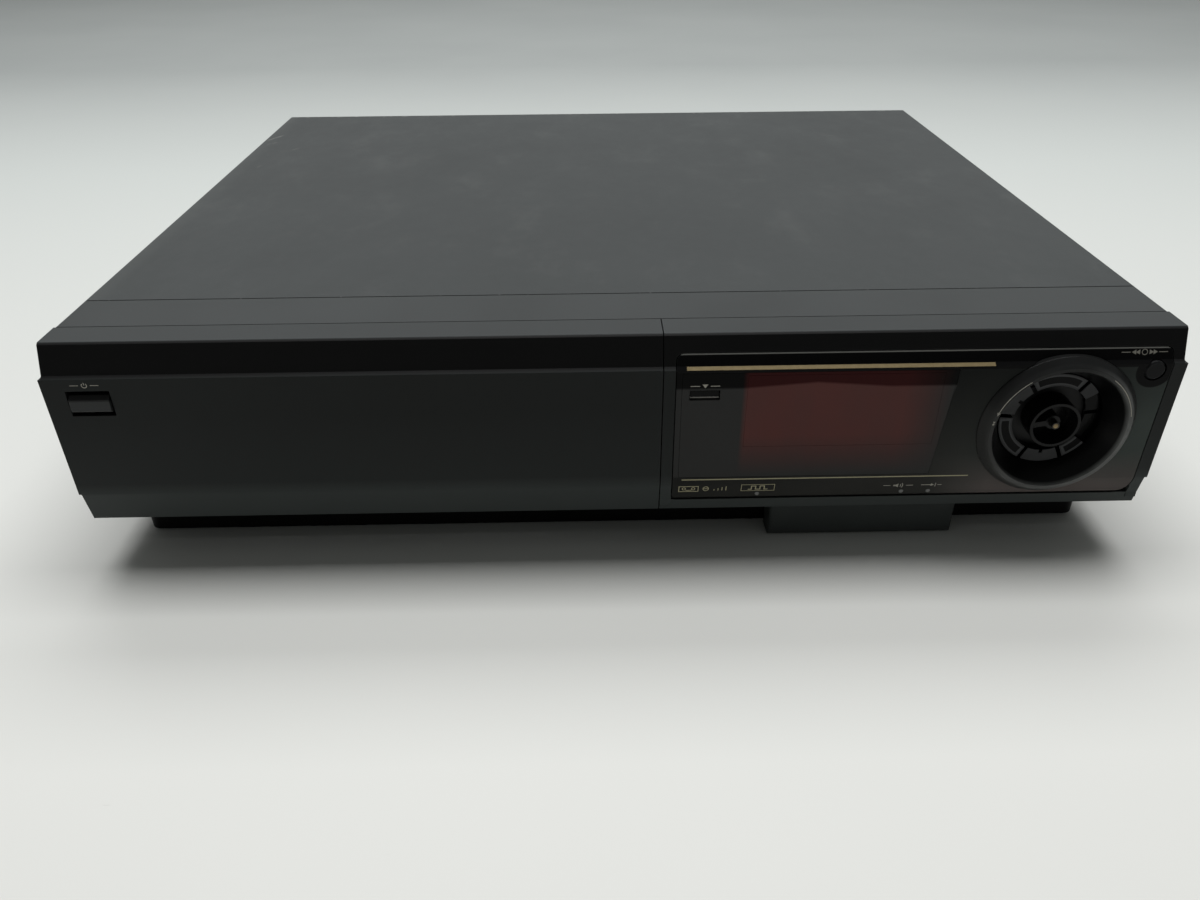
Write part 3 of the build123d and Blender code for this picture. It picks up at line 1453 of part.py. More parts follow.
transformer_x = board_right - transformer_gap
transformer_depth = supply_rear - transformer_back
with BuildPart() as transformer:
    block(transformer_x - core_width / 2, transformer_x + core_width / 2, transformer_depth - core_deep / 2,
          transformer_depth + core_deep / 2, board_top + chip_height, board_top + chip_height + core_height)
    chamfer(transformer.edges().filter_by(Axis.Y), core_bevel)
    block(transformer_x - core_width / 2 + winding_side, transformer_x + core_width / 2 - winding_side,
          transformer_depth - core_deep / 2 - winding_reach,
          transformer_depth + core_deep / 2 + winding_reach,
          board_top + chip_height + winding_low, board_top + chip_height + core_height - winding_low)

sink_x = board_right - sink_gap
sink_depth = supply_front + sink_back
with BuildPart() as heat_sink:
    block(sink_x - sink_width / 2, sink_x + sink_width / 2, sink_depth - sink_web, sink_depth,
          board_top + chip_height, board_top + chip_height + sink_height)
    with BuildSketch(Plane.XY.offset(board_top + chip_height)):
        with Locations((sink_x, front_y + sink_depth + sink_fin_deep / 2)):
            with GridLocations((sink_width - sink_fin) / (sink_fins - 1), 1, sink_fins, 1):
                Rectangle(sink_fin, sink_fin_deep)
    extrude(amount=sink_height)

os.makedirs("parts", exist_ok=True)
pieces = {
    "lower_chassis": lower_chassis,
    "rubber_feet": rubber_feet,
    "front_support_foot": front_support_foot,
    "front_frame": front_frame,
    "top_cover": top_cover,
    "rear_panel": rear_panel,
    "rca_sockets": rca_sockets,
    "s_video_sockets": s_video_sockets,
    "aerial_sockets": aerial_sockets,
    "serial_connector": serial_connector,
    "mains_inlet": mains_inlet,
    "cassette_door": cassette_door,
    "right_fascia": right_fascia,
    "control_door": control_door,
    "display_window": display_window,
    "display_filter": display_filter,
    "display_module": display_module,
    "dial_collar": dial_collar,
    "encoder_body": encoder_body,
    "shuttle_carrier": shuttle_carrier,
    "jog_hub": jog_hub,
    "jog_shaft": jog_shaft,
    "open_button": open_button,
    "jog_shuttle_button": jog_shuttle_button,
    "power_button": power_button,
    "power_switch": power_switch,
    "key_panel": key_panel,
    "front_board": front_board,
    **keys,
    "slot_flap": slot_flap,
    "cassette_holder": cassette_holder,
    "loading_slider": loading_slider,
    "side_plate_left": side_plate_left,
    "side_plate_right": side_plate_right,
    "deck_plate": deck_plate,
    **reels,
    "drum_base": drum_base,
    "drum_rotor": drum_rotor,
    "capstan_motor": capstan_motor,
    "capstan_flywheel": capstan_flywheel,
    "pinch_arm": pinch_arm,
    "pinch_roller": pinch_roller,
    "guide_posts": guide_posts,
    "audio_control_head": audio_control_head,
    "erase_head": erase_head,
    "loading_motor": loading_motor,
    "main_board": main_board,
    "tbc_board": tbc_board,
    "power_board": power_board,
    "board_spacers": board_spacers,
    "transformer": transformer,
    "heat_sink": heat_sink,
}
for label, piece in pieces.items():
    piece.part.label = label
    export_step(piece.part, f"parts/{label}.step")
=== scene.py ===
"""Looks of a VHS editing recorder: finishes, prints, fasteners, studio and camera. Lengths are metres."""
import json
from math import atan2, cos, pi, radians, sin
import bmesh
import bpy
from mathutils import Matrix, Vector


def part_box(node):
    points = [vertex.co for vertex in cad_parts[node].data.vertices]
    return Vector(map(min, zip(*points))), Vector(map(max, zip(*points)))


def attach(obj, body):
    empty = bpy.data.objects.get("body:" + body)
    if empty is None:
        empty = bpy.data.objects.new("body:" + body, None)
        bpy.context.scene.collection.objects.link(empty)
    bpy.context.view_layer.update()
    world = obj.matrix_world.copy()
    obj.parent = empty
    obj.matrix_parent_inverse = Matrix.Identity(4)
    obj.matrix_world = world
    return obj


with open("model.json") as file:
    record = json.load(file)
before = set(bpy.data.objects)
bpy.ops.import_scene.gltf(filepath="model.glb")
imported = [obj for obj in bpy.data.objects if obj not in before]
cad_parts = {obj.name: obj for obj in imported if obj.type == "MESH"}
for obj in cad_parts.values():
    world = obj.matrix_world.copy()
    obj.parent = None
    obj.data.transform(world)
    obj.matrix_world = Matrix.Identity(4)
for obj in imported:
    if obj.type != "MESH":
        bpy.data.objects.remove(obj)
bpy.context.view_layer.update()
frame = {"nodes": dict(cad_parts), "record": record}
NODES = frame["nodes"]
MM = 0.001

# ---- places on the front, repeated from the part's own sizes; drops are measured down from the top
COVER_LENGTH = 0.370
cover_low, cover_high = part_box("top_cover")
FRONT_Y = cover_high.y - COVER_LENGTH
TOP_Z = cover_high.z
LEDGE_DROP, LEDGE_OUT = 0.0128, 0.0052
BAND_DROP, BAND_OUT = 0.0117, 0.0038
BELT_DROP, BELT_OUT = 0.0648, 0.0036
CHIN_DROP, CHIN_OUT = 0.0783, 0.0005
PROFILE = ((0.0, 0.0), (BAND_DROP, BAND_OUT), (LEDGE_DROP, LEDGE_OUT), (BELT_DROP, BELT_OUT),
           (CHIN_DROP, CHIN_OUT))
BELT_TILT = atan2(LEDGE_OUT - BELT_OUT, BELT_DROP - LEDGE_DROP)
BELT_NORMAL = Vector((0, -cos(BELT_TILT), -sin(BELT_TILT)))
BELT_UP = Vector((0, -sin(BELT_TILT), cos(BELT_TILT)))
DIAL_X, DIAL_DROP = 0.1713, 0.0395
RIM_HEIGHT, CREST_RADIUS = 0.0040, 0.0268
ROUND_X, ROUND_DROP = 0.2034, 0.0158
CARRIER_FACE = -0.0053
PANEL_BAND_DROP = 0.0139
WINDOW_RIGHT, WINDOW_SLANT_DROP = 0.1291, 0.0209
WINDOW_FOOT_RIGHT, WINDOW_FOOT = 0.1211, 0.0613
# a painted dark reflection along the top of the window; its lower edge dips about an X
WINDOW_REFLECTION_DROP, WINDOW_REFLECTION_DIP = 0.0207, 0.0022
WINDOW_REFLECTION_DIP_X, WINDOW_REFLECTION_DIP_HALF = 0.0760, 0.0280
RED_LEFT, RED_RIGHT, RED_FOOT = 0.0484, 0.1280, 0.0600
RED_SIDE_FADE, RED_FOOT_FADE = 0.018, 0.018
# painted highlight on the opening button
LATCH_HIGHLIGHT_DROP = 0.0249
LAMP_DROP = 0.0703
BOARD_THICK, CHIP_TOP = 0.0016, 0.0047
PRINT_LIFT = 0.00006
# scratches on the cover: centre (X, distance behind the front edge), direction, length, half width, strength
SCUFFS = (((-0.2088, 0.310), (0.466, 0.885), 0.0180, 0.0005, 0.8),
          ((-0.2068, 0.296), (0.75, 0.66), 0.0080, 0.0004, 0.6),
          ((-0.1886, 0.281), (0.60, 0.80), 0.0070, 0.0007, 0.35),
          ((-0.1999, 0.242), (0.30, 0.95), 0.0050, 0.0005, 0.4),
          ((0.1450, 0.300), (0.95, -0.31), 0.0120, 0.0003, 0.3))
# chips on the front cap's top edge: X, distance behind the front edge, radius
CHIPS = ((-0.2072, 0.0003, 0.0011), (-0.2045, 0.0002, 0.0010), (-0.2015, 0.0006, 0.0013),
         (-0.2002, 0.0024, 0.0007), (-0.2152, 0.0058, 0.0013), (-0.2150, 0.0084, 0.0010),
         (-0.2105, 0.0018, 0.0007))

# ---- where one colour turns into the next: two places and, on some, the shares there
CAP_FOOT = (0.0006, 0.0009)
BEVEL_AHEAD = (-0.0007, -0.0002)
# painted light: the belt is painted paler lower down, for light thrown up from the floor
BELT_BOUNCE_LIGHT = (0.030, 0.060, 0.0, 0.5)
BELT_FOOT_BOUNCE_LIGHT = (0.060, 0.066)
# painted reflection along the cover's left edge
COVER_LEFT_REFLECTION_REACH = (0.0100, 0.0010, 0.0, 0.30)
COVER_REAR_REACH = (-0.004, -0.0005)
# painted reflection: the smoked window is painted a little paler between these drops
SMOKE_REFLECTION_DROP = (0.030, 0.058)
# painted light on the control door: a dark reflection round the round button, light falling off along a
# slanted line, a reflection near the foot and a glint on the top edge
BUTTON_REFLECTION_RADIUS = (0.0074, 0.0070)
LIT_X, LIT_SLANT = 0.135, 0.25
LIT_DROP, LIT_ACROSS = (0.014, 0.056), (0.120, 0.195)
FOOT_LIGHT_DROP, FOOT_LIGHT_ACROSS = (0.052, 0.068), (0.126, 0.150)
PANEL_EDGE = (0.0077, 0.0075)
# painted light on the dial collar: the outer slope lighter lower down, a highlight on the crest at the lower
# right
SLOPE_DOWN = (-0.024, 0.014)
CREST_SIDE = (-0.012, 0.016, 0.06, 1.0)
CARRIER_RAISED = (CARRIER_FACE - 0.0006, CARRIER_FACE - 0.0002)
SHAFT_RADIUS = (0.0011, 0.0008)
# power key and opening button: painted shade on the power key's top bevel, painted highlights along the lower
# edges of both
POWER_SHADE_DROP, POWER_FOOT_HIGHLIGHT_DROP = (0.0216, 0.0220), (0.0256, 0.0262)
HIGHLIGHT_HALF = (0.00034, 0.00020)
# cosines of the turn between which an edge counts as rubbed
EDGE_TURN = (0.985, 0.86)

# ---- prints and fasteners; sign places are X and drop, sign shapes are in millimetres
PRINT_EDGE = 0.00005
GOLD_STRIPE_ENDS = (0.0261, 0.1422)
GOLD_LINE_ENDS, GOLD_LINE_DROP, GOLD_LINE_HALF = (0.0260, 0.1415), 0.0624, 0.00025
SIGN_PLACES = {"power_sign": (-0.1985, 0.0152), "open_sign": (0.0333, 0.0195), "jog_sign": (0.1985, 0.0089),
               "tape_sign": (0.0290, 0.0672), "pulse_sign": (0.0571, 0.0670), "sound_sign": (0.1142, 0.0671),
               "insert_sign": (0.1274, 0.0670)}
REVERSE_ARC, FORWARD_ARC, REVERSE_SIGN_ANGLE = (-74, -36), (35, 77), -82
LAMP_PLACES = {"lamp_a": 0.0571, "lamp_b": 0.1160, "lamp_c": 0.1270}
LAMP_RADIUS, LAMP_RISE, LAMP_SUNK = 0.0009, 0.0002, 0.0004
REAR_SCREWS = ((-0.205, 0.085), (-0.205, 0.035), (0.205, 0.085), (0.205, 0.035),
               (-0.06, 0.088), (0.06, 0.088), (-0.02, 0.035), (0.10, 0.035))
SIDE_SCREWS_BACK, SIDE_SCREWS_UP = (0.075, 0.340), 0.036
HEAD_RADIUS, HEAD_SEGMENTS = 0.0030, 24
REAR_HEAD_RISE, SIDE_HEAD_RISE = 0.00156, 0.0004
RING_INNER, RING_OUTER, RING_THICK = 0.00425, 0.0058, 0.0018
INSERT_OUTLINE = ((-0.0131, -0.0031), (0.0131, -0.0031), (0.0142, 0.0031), (-0.0142, 0.0031))
INSERT_FLOOR, INSERT_TOP, PIN_TOP = 0.00082, 0.0032, 0.0045
PIN_PITCH, PIN_ROW, PIN_HALF = 0.00254, 0.0014, 0.0004

# ---- camera, solved from the corners of the case
CAMERA_X = -0.0117
CAMERA_AHEAD = 0.32959
CAMERA_ABOVE = 0.14995
CAMERA_YAW = 0.0154
CAMERA_PITCH = 0.5451
CAMERA_ROLL = -0.0082
FOCAL_PIXELS = 969.4
IMAGE_WIDTH = 1200
SENSOR = 36.0

# ---- studio: each lamp's distance behind the front edge, its target's, its width, depth and power
OVERHEAD = (0.36, 0.36, 2.2, 0.72, 36.0)
REAR_OVERHEAD = (1.58, 0.6, 2.8, 0.84, 34.0)
LAMP_HEIGHT = 2.0
FLOOR_HALF = 4
ROOM_TURN = (-0.6, 0.3)

# ---- colours, linear
CHARCOAL = (0.034, 0.038, 0.0385)
FRAME_GREY = (0.033, 0.0365, 0.037)
FRONT_GREY = (0.0125, 0.0142, 0.0138)
NEAR_BLACK = (0.0042, 0.0042, 0.0044)
GOLD = (0.23, 0.174, 0.080)
PALE_PRINT = (0.38, 0.36, 0.31)
DIM_PRINT = (0.23, 0.22, 0.19)
FAINT_GOLD = (0.42, 0.385, 0.24)
KEY_PRINT = (0.45, 0.46, 0.44)
RECORD_PRINT = (0.45, 0.05, 0.04)
LENS_GREY = (0.15, 0.152, 0.148)
WORN = (0.085, 0.09, 0.088)
EDGE_GLINT = (0.165, 0.165, 0.155)
SMOKED = (0.037, 0.037, 0.0365)
RED_FILTER = (0.112, 0.042, 0.038)
# the window's painted dark reflection, over the red filter and elsewhere
RED_UNDER_REFLECTION = (0.036, 0.0055, 0.0055)
WINDOW_REFLECTION_BLACK = (0.0016, 0.0016, 0.0016)
FLOOR_NEAR = (0.69, 0.695, 0.67)
# floor: painted shade, darker the further behind the object
FLOOR_MID_SHADE = (0.50, 0.525, 0.51)
FLOOR_FAR_SHADE = (0.30, 0.318, 0.313)
ROOM_AHEAD = (0.075, 0.078, 0.075)
ROOM_BEHIND = (0.45, 0.465, 0.46)
BACKDROP = (0.60, 0.615, 0.605)
FILL = (0.13, 0.134, 0.13)

# ---- colours that belong to one finish
BROKEN_PAINT = (0.30, 0.30, 0.28)
COVER_SMUDGE = (0.085, 0.088, 0.086)
COVER_SCRATCH = (0.20, 0.205, 0.20)
# painted reflection along the cover's left edge
COVER_LEFT_REFLECTION = (0.075, 0.080, 0.077)
COVER_STEEL = (0.34, 0.34, 0.32)
DUST = (0.10, 0.10, 0.095)
WINDOW_DUST = (0.07, 0.07, 0.067)
# control door colours with painted light and shade: dark top, dim left, lit right, pale foot
PANEL_TOP_SHADE = (0.009, 0.010, 0.0095)
PANEL_LEFT_DIM = (0.033, 0.0325, 0.030)
PANEL_RIGHT_LIT = (0.056, 0.067, 0.062)
PANEL_FOOT_LIGHT = (0.105, 0.091, 0.087)
PANEL_SWIRL = (0.012, 0.0125, 0.012)
# dial collar: painted shade in the bowl, painted light on the outer slope, painted highlight on the crest
BOWL_SHADE_DARK = (0.0018, 0.0018, 0.0019)
BOWL_SHADE_PALE = (0.0032, 0.0032, 0.0033)
SLOPE_TOP_SHADE = (0.009, 0.0093, 0.0093)
SLOPE_FOOT_LIGHT = (0.037, 0.037, 0.0355)
CREST_HIGHLIGHT = (0.150, 0.153, 0.150)
CARRIER_DARK = (0.044, 0.0445, 0.046)
CARRIER_PALE = (0.056, 0.0565, 0.058)
# painted highlight round the carrier's painted windows, and painted shade in them and on its sunk faces
CARRIER_RIM_HIGHLIGHT = (0.070, 0.071, 0.073)
CARRIER_RECESS_SHADE = (0.0020, 0.0020, 0.0021)
CARRIER_EDGE = (0.030, 0.031, 0.032)
BRASS = (0.30, 0.22, 0.11)
BRASS_GRIMY = (0.16, 0.115, 0.055)
SHAFT_OUTER_DARK = (0.02, 0.019, 0.017)
# power key: painted shade on the top bevel and a painted highlight on the lower edge
POWER_SHADED_BEVEL = (0.007, 0.007, 0.007)
POWER_FACE = (0.030, 0.032, 0.0325)
POWER_FOOT_HIGHLIGHT = (0.035, 0.037, 0.036)
LATCH_DARK = (0.0015, 0.0015, 0.0015)
LATCH_PALE = (0.0026, 0.0026, 0.0026)
# painted highlight on the opening button
LATCH_HIGHLIGHT = (0.24, 0.23, 0.215)
MASK_GREEN = (0.018, 0.062, 0.030)
TRACK_GREEN = (0.045, 0.125, 0.055)
CLOUD_GREEN = (0.03, 0.09, 0.045)
CHIP_DARK = (0.010, 0.010, 0.011)
CHIP_PALE = (0.022, 0.022, 0.022)
CAN_SLEEVE = (0.020, 0.030, 0.095)
CAN_TOP = (0.45, 0.45, 0.44)
PLATING = (0.62, 0.61, 0.58)
PLATING_DULL = (0.40, 0.39, 0.36)
BLOCK_DARK = (0.010, 0.010, 0.010)
BLOCK_PALE = (0.018, 0.018, 0.018)
CORE_GAP = (0.05, 0.05, 0.052)
CORE_PLATE = (0.16, 0.155, 0.15)
RUST = (0.11, 0.055, 0.03)
RUBBER = (0.012, 0.012, 0.012)
RUBBER_DUST = (0.07, 0.068, 0.064)
FLOOR_CLOUD = (0.52, 0.54, 0.52)
FLOOR_HAIR = (0.33, 0.33, 0.32)


# ---- node trees
SHADER_SOCKETS = {"specular": "Specular IOR Level", "metallic": "Metallic", "roughness": "Roughness"}


class Tree:
    """A node tree under construction and short ways to add nodes to it."""

    def __init__(self, tree):
        self.tree = tree

    def add(self, kind, inputs=None, **properties):
        """A node with its properties set and its inputs linked or given values."""
        node = self.tree.nodes.new("ShaderNode" + kind)
        for key, value in properties.items():
            setattr(node, key, value)
        for key, value in (inputs or {}).items():
            self.feed(node.inputs[key], value)
        return node

    def feed(self, socket, value):
        """Link a socket to another one's output, or give it a value."""
        if isinstance(value, bpy.types.NodeSocket):
            self.tree.links.new(value, socket)
        else:
            socket.default_value = value

    def ramp(self, value, low, high, from_out=0.0, to_out=1.0):
        """A value mapped from one range to another and held inside it."""
        return self.add("MapRange", {"Value": value, "From Min": low, "From Max": high,
                                     "To Min": from_out, "To Max": to_out}).outputs["Result"]

    def math(self, operation, *values):
        """A sum, product or other function of sockets and numbers."""
        return self.add("Math", dict(enumerate(values)), operation=operation).outputs["Value"]

    def product(self, first, second):
        return self.math("MULTIPLY", first, second)

    def mix(self, share, first, second):
        """One colour turning into another."""
        node = self.add("Mix", {0: share}, data_type="RGBA")
        for key, colour in ((6, first), (7, second)):
            self.feed(node.inputs[key], (*colour, 1) if isinstance(colour, tuple) else colour)
        return node.outputs[2]


class Look(Tree):
    """A material under construction: its shader and its measures of place, noise and wear."""

    def __init__(self, name, edge=None, **shader_inputs):
        """Shader constants by short name; an edge radius rounds the normal at sharp edges."""
        self.material = bpy.data.materials.new(name)
        self.material.use_nodes = True
        super().__init__(self.material.node_tree)
        self.shader = self.tree.nodes["Principled BSDF"]
        for key, value in shader_inputs.items():
            self.shader.inputs[SHADER_SOCKETS[key]].default_value = value
        self.place = self.add("TexCoord").outputs["Object"]
        self.soft = None
        if edge:
            self.soft = self.add("Bevel", {"Radius": edge}, samples=4).outputs["Normal"]

    def noise(self, scale, detail=3.0, stretch=(1, 1, 1), roughness=0.5):
        """Noise of a scale per metre, which may be drawn out along an axis."""
        spread = self.add("Mapping", {"Vector": self.place, "Scale": stretch}).outputs["Vector"]
        return self.add("TexNoise", {"Vector": spread, "Scale": scale, "Detail": detail,
                                     "Roughness": roughness}).outputs["Fac"]

    def haze(self):
        """Swirls left in a polished face, drawn out upwards."""
        return self.noise(45, 5, (1.0, 1.0, 0.35), 0.6)

    def patches(self, scale, detail, low, high, from_out=0.0, to_out=1.0):
        """Patches: noise that rises between two of its levels."""
        return self.ramp(self.noise(scale, detail), low, high, from_out, to_out)

    def mottle(self, noise, colour, darkest, palest):
        """A colour that goes from darker to paler with a noise."""
        return self.mix(self.ramp(noise, 0.35, 0.7), lighter(colour, darkest), lighter(colour, palest))

    def along(self, direction, origin):
        """Distance from a point along a direction."""
        offset = self.add("VectorMath", {0: self.place, 1: tuple(origin)}, operation="SUBTRACT")
        return self.add("VectorMath", {0: offset.outputs["Vector"], 1: tuple(direction)},
                        operation="DOT_PRODUCT").outputs["Value"]

    def drop(self):
        """Distance down from the top of the case."""
        return self.along((0, 0, -1), (0, 0, TOP_Z))

    def across(self):
        """Distance to the right of the middle of the case."""
        return self.along((1, 0, 0), (0, 0, 0))

    def length(self, first, second):
        """Length of a vector from two of its parts."""
        squares = [self.math("POWER", part, 2.0) for part in (first, second)]
        return self.math("SQRT", self.math("ADD", *squares))

    def distance(self, origin):
        """Distance from a point."""
        return self.add("VectorMath", {0: self.place, 1: tuple(origin)},
                        operation="DISTANCE").outputs["Value"]

    def rubbed(self):
        """A mask that is one on sharp edges."""
        flat = self.add("NewGeometry").outputs["Normal"]
        turn = self.add("VectorMath", {0: self.soft, 1: flat}, operation="DOT_PRODUCT")
        return self.ramp(turn.outputs["Value"], *EDGE_TURN)

    def colour(self, socket):
        self.feed(self.shader.inputs["Base Color"], socket)

    def roughness(self, socket):
        self.feed(self.shader.inputs["Roughness"], socket)

    def bump(self, height, strength, distance):
        """Bump from a height, over the rounded normal where there is one."""
        inputs = {"Height": height, "Strength": strength, "Distance": distance}
        if self.soft:
            inputs["Normal"] = self.soft
        self.feed(self.shader.inputs["Normal"], self.add("Bump", inputs).outputs["Normal"])

    def grain(self, scale, detail, strength, distance):
        """Bump from a fine noise."""
        self.bump(self.noise(scale, detail), strength, distance)


def lighter(colour, factor):
    return tuple(min(channel * factor, 1) for channel in colour)


# ---- materials
def moulded(name, colour, rough, grain=2600.0, strength=0.12, edge=0.0004, wear=0.35, worn=WORN,
            chips=(), **shader_inputs):
    """Moulded plastic: spark-eroded grain, faint blotches, edges worn by handling, maybe some chips."""
    look = Look(name, edge=edge, **shader_inputs)
    rubbed = look.rubbed()
    blotch = look.noise(22, 4)
    fine = look.noise(grain, 2.0)
    body = look.mottle(blotch, colour, 0.90, 1.12)
    speck = look.ramp(look.noise(grain * 0.5, 1.0), 0.62, 0.78, 0.0, 0.18)
    body = look.mix(speck, body, lighter(colour, 1.6))
    share = look.product(rubbed, look.patches(160, 3, 0.35, 0.7, 0.1 * wear, wear))
    body = look.mix(share, body, worn)
    for x, behind, radius in chips:
        spot = look.ramp(look.distance((x, FRONT_Y + behind, TOP_Z)), radius, radius * 0.7)
        broken = look.patches(1100, 3, 0.42, 0.52)
        body = look.mix(look.product(spot, broken), body, BROKEN_PAINT)
    look.colour(body)
    look.roughness(look.ramp(blotch, 0.3, 0.75, rough - 0.05, rough + 0.07))
    look.bump(fine, strength, 0.0002)
    return look.material


def cover_paint():
    """Baked paint on the steel cover: fine texture, smudges, hairline scratches and chipped rear edges, and a
    painted reflection along its left edge.
    """
    look = Look("cover_paint", edge=0.0005, specular=0.15)
    rubbed = look.rubbed()
    cloud = look.noise(9, 5, roughness=0.6)
    smudge = look.noise(38, 6, (1.0, 0.6, 1.0), 0.65)
    texture = look.noise(1900, 2)
    body = look.mix(look.ramp(cloud, 0.3, 0.72), lighter(CHARCOAL, 0.93), lighter(CHARCOAL, 1.08))
    dusty = look.ramp(smudge, 0.56, 0.78, 0.0, 0.22)
    body = look.mix(dusty, body, COVER_SMUDGE)
    line = look.noise(60, 2, (0.25, 22.0, 1.0))
    where = look.patches(14, 2, 0.62, 0.74)
    scratch = look.product(look.ramp(line, 0.735, 0.76), look.product(where, 0.55))
    body = look.mix(scratch, body, COVER_SCRATCH)
    for place, way, length, width, depth in SCUFFS:
        where = Vector((place[0], FRONT_Y + place[1], TOP_Z))
        along = look.math("ABSOLUTE", look.along((way[0], way[1], 0), where))
        beside = look.math("ABSOLUTE", look.along((-way[1], way[0], 0), where))
        mark = look.product(look.ramp(along, length / 2, length * 0.3),
                            look.ramp(beside, width, width * 0.3, 0.0, depth))
        broken = look.patches(700, 3, 0.38, 0.52)
        body = look.mix(look.product(mark, broken), body, BROKEN_PAINT)
    # painted reflection: paler along the left edge, where the rounded edge catches light
    left_reflection = look.ramp(look.along((1, 0, 0), cover_low), *COVER_LEFT_REFLECTION_REACH)
    body = look.mix(left_reflection, body, COVER_LEFT_REFLECTION)
    to_rear = look.ramp(look.along((0, 1, 0), (0, cover_high.y, 0)), *COVER_REAR_REACH)
    chip_noise = look.patches(420, 4, 0.60, 0.66)
    chips = look.product(look.math("MAXIMUM", rubbed, to_rear), chip_noise)
    look.colour(look.mix(look.product(chips, 0.8), body, COVER_STEEL))
    look.roughness(look.ramp(smudge, 0.35, 0.75, 0.50, 0.40))
    look.bump(texture, 0.16, 0.0003)
    return look.material


def metal(name, colour, rough, stretch=(1, 30, 1), bump=0.05, scale=160.0, edge=0.0002):
    """Bare metal with its brushing or turning marks and a little tarnish."""
    look = Look(name, edge=edge, metallic=1.0)
    rubbed = look.rubbed()
    marks = look.noise(scale, 4.0, stretch)
    tarnish = look.noise(70, 4)
    body = look.mix(look.ramp(tarnish, 0.4, 0.75), colour, lighter(colour, 0.72))
    look.colour(look.mix(rubbed, body, lighter(colour, 1.25)))
    look.roughness(look.ramp(marks, 0.3, 0.7, rough - 0.08, rough + 0.1))
    look.bump(marks, bump, 0.0002)
    return look.material


def coated(name, colour, rough, **shader_inputs):
    """Glossy plastic or acrylic: hairline swirls in the polish and dust lying on it."""
    look = Look(name, edge=0.0003, **shader_inputs)
    dust = look.patches(900, 3, 0.66, 0.8, 0.0, 0.3)
    haze = look.haze()
    body = look.mix(look.ramp(haze, 0.4, 0.8, 0.0, 0.25), colour, lighter(colour, 1.7))
    look.colour(look.mix(dust, body, DUST))
    look.roughness(look.ramp(haze, 0.35, 0.8, rough, rough + 0.14))
    look.bump(look.noise(1500, 2, (1.0, 1.0, 0.2)), 0.03, 0.0001)
    return look.material


def window_colour(look):
    """Colour of the window by place: a painted dark reflection along its top, red over the display, smoked
    elsewhere and painted a little paler lower down as a reflection.
    """
    drop = look.drop()
    across = look.across()
    # painted dark reflection: the top of the window is painted near black down to a curved edge
    from_dip = look.math("ABSOLUTE", look.math("SUBTRACT", across, WINDOW_REFLECTION_DIP_X))
    reflection_foot_drop = look.ramp(from_dip, 0.0, WINDOW_REFLECTION_DIP_HALF, WINDOW_REFLECTION_DROP - WINDOW_REFLECTION_DIP, WINDOW_REFLECTION_DROP)
    top_reflection = look.ramp(look.math("SUBTRACT", drop, reflection_foot_drop), 0.0005, -0.0005)
    red_left = look.ramp(across, RED_LEFT - 0.0008, RED_LEFT + 0.0012)
    red_right = look.ramp(across, RED_RIGHT, RED_RIGHT - RED_SIDE_FADE)
    red_foot = look.ramp(drop, RED_FOOT, RED_FOOT - RED_FOOT_FADE)
    red = look.product(look.product(red_left, red_right), red_foot)
    haze = look.ramp(look.haze(), 0.4, 0.8, 0.0, 0.3)
    # painted reflection: the smoked acrylic is painted a little paler lower down
    smoked = look.mix(look.ramp(drop, *SMOKE_REFLECTION_DROP), SMOKED, lighter(SMOKED, 1.08))
    clear = look.mix(red, smoked, RED_FILTER)
    red_under_reflection = look.mix(red, WINDOW_REFLECTION_BLACK, RED_UNDER_REFLECTION)
    body = look.mix(top_reflection, look.mix(haze, clear, lighter(SMOKED, 1.3)), red_under_reflection)
    speck = look.patches(900, 3, 0.74, 0.80, 0.0, 0.25)
    return look.mix(speck, body, WINDOW_DUST)


def window_acrylic(name):
    """Smoked acrylic in front of the display, with swirls in its polish."""
    look = Look(name, edge=0.0002, specular=0.05)
    look.colour(window_colour(look))
    look.roughness(look.ramp(look.haze(), 0.35, 0.8, 0.10, 0.22))
    look.bump(look.noise(1500, 2, (1.0, 1.0, 0.2)), 0.02, 0.0001)
    return look.material


def front_zones(look, blotch, drop):
    """Colours of the front mouldings: charcoal top, near black bevel, a belt painted paler towards its foot
    for light thrown up from the floor.
    """
    ahead = look.along((0, -1, 0), (0, FRONT_Y, 0))
    belt = look.mottle(blotch, FRONT_GREY, 0.90, 1.12)
    # painted light: the belt is painted paler lower down, for light thrown up from the floor
    belt = look.mix(look.ramp(drop, *BELT_BOUNCE_LIGHT), belt, lighter(FRONT_GREY, 2.2))
    belt = look.mix(look.ramp(drop, *BELT_FOOT_BOUNCE_LIGHT), belt, lighter(FRONT_GREY, 3.5))
    top = look.mottle(blotch, FRAME_GREY, 0.92, 1.06)
    bevel = look.product(look.ramp(ahead, *BEVEL_AHEAD),
                         look.ramp(drop, LEDGE_DROP - 0.0002, LEDGE_DROP - 0.0008))
    body = look.mix(look.ramp(drop, *CAP_FOOT), top, belt)
    return look.mix(bevel, body, NEAR_BLACK)


def front_plastic(name):
    """Front moulding with a fine grain and edges polished by handling."""
    look = Look(name, edge=0.0003, specular=0.13)
    rubbed = look.rubbed()
    blotch = look.noise(18, 4)
    drop = look.drop()
    share = look.product(rubbed, look.patches(190, 3, 0.35, 0.7, 0.08, 0.35))
    look.colour(look.mix(share, front_zones(look, blotch, drop), WORN))
    look.roughness(look.ramp(blotch, 0.3, 0.75, 0.44, 0.52))
    look.grain(2600, 2, 0.10, 0.0002)
    return look.material


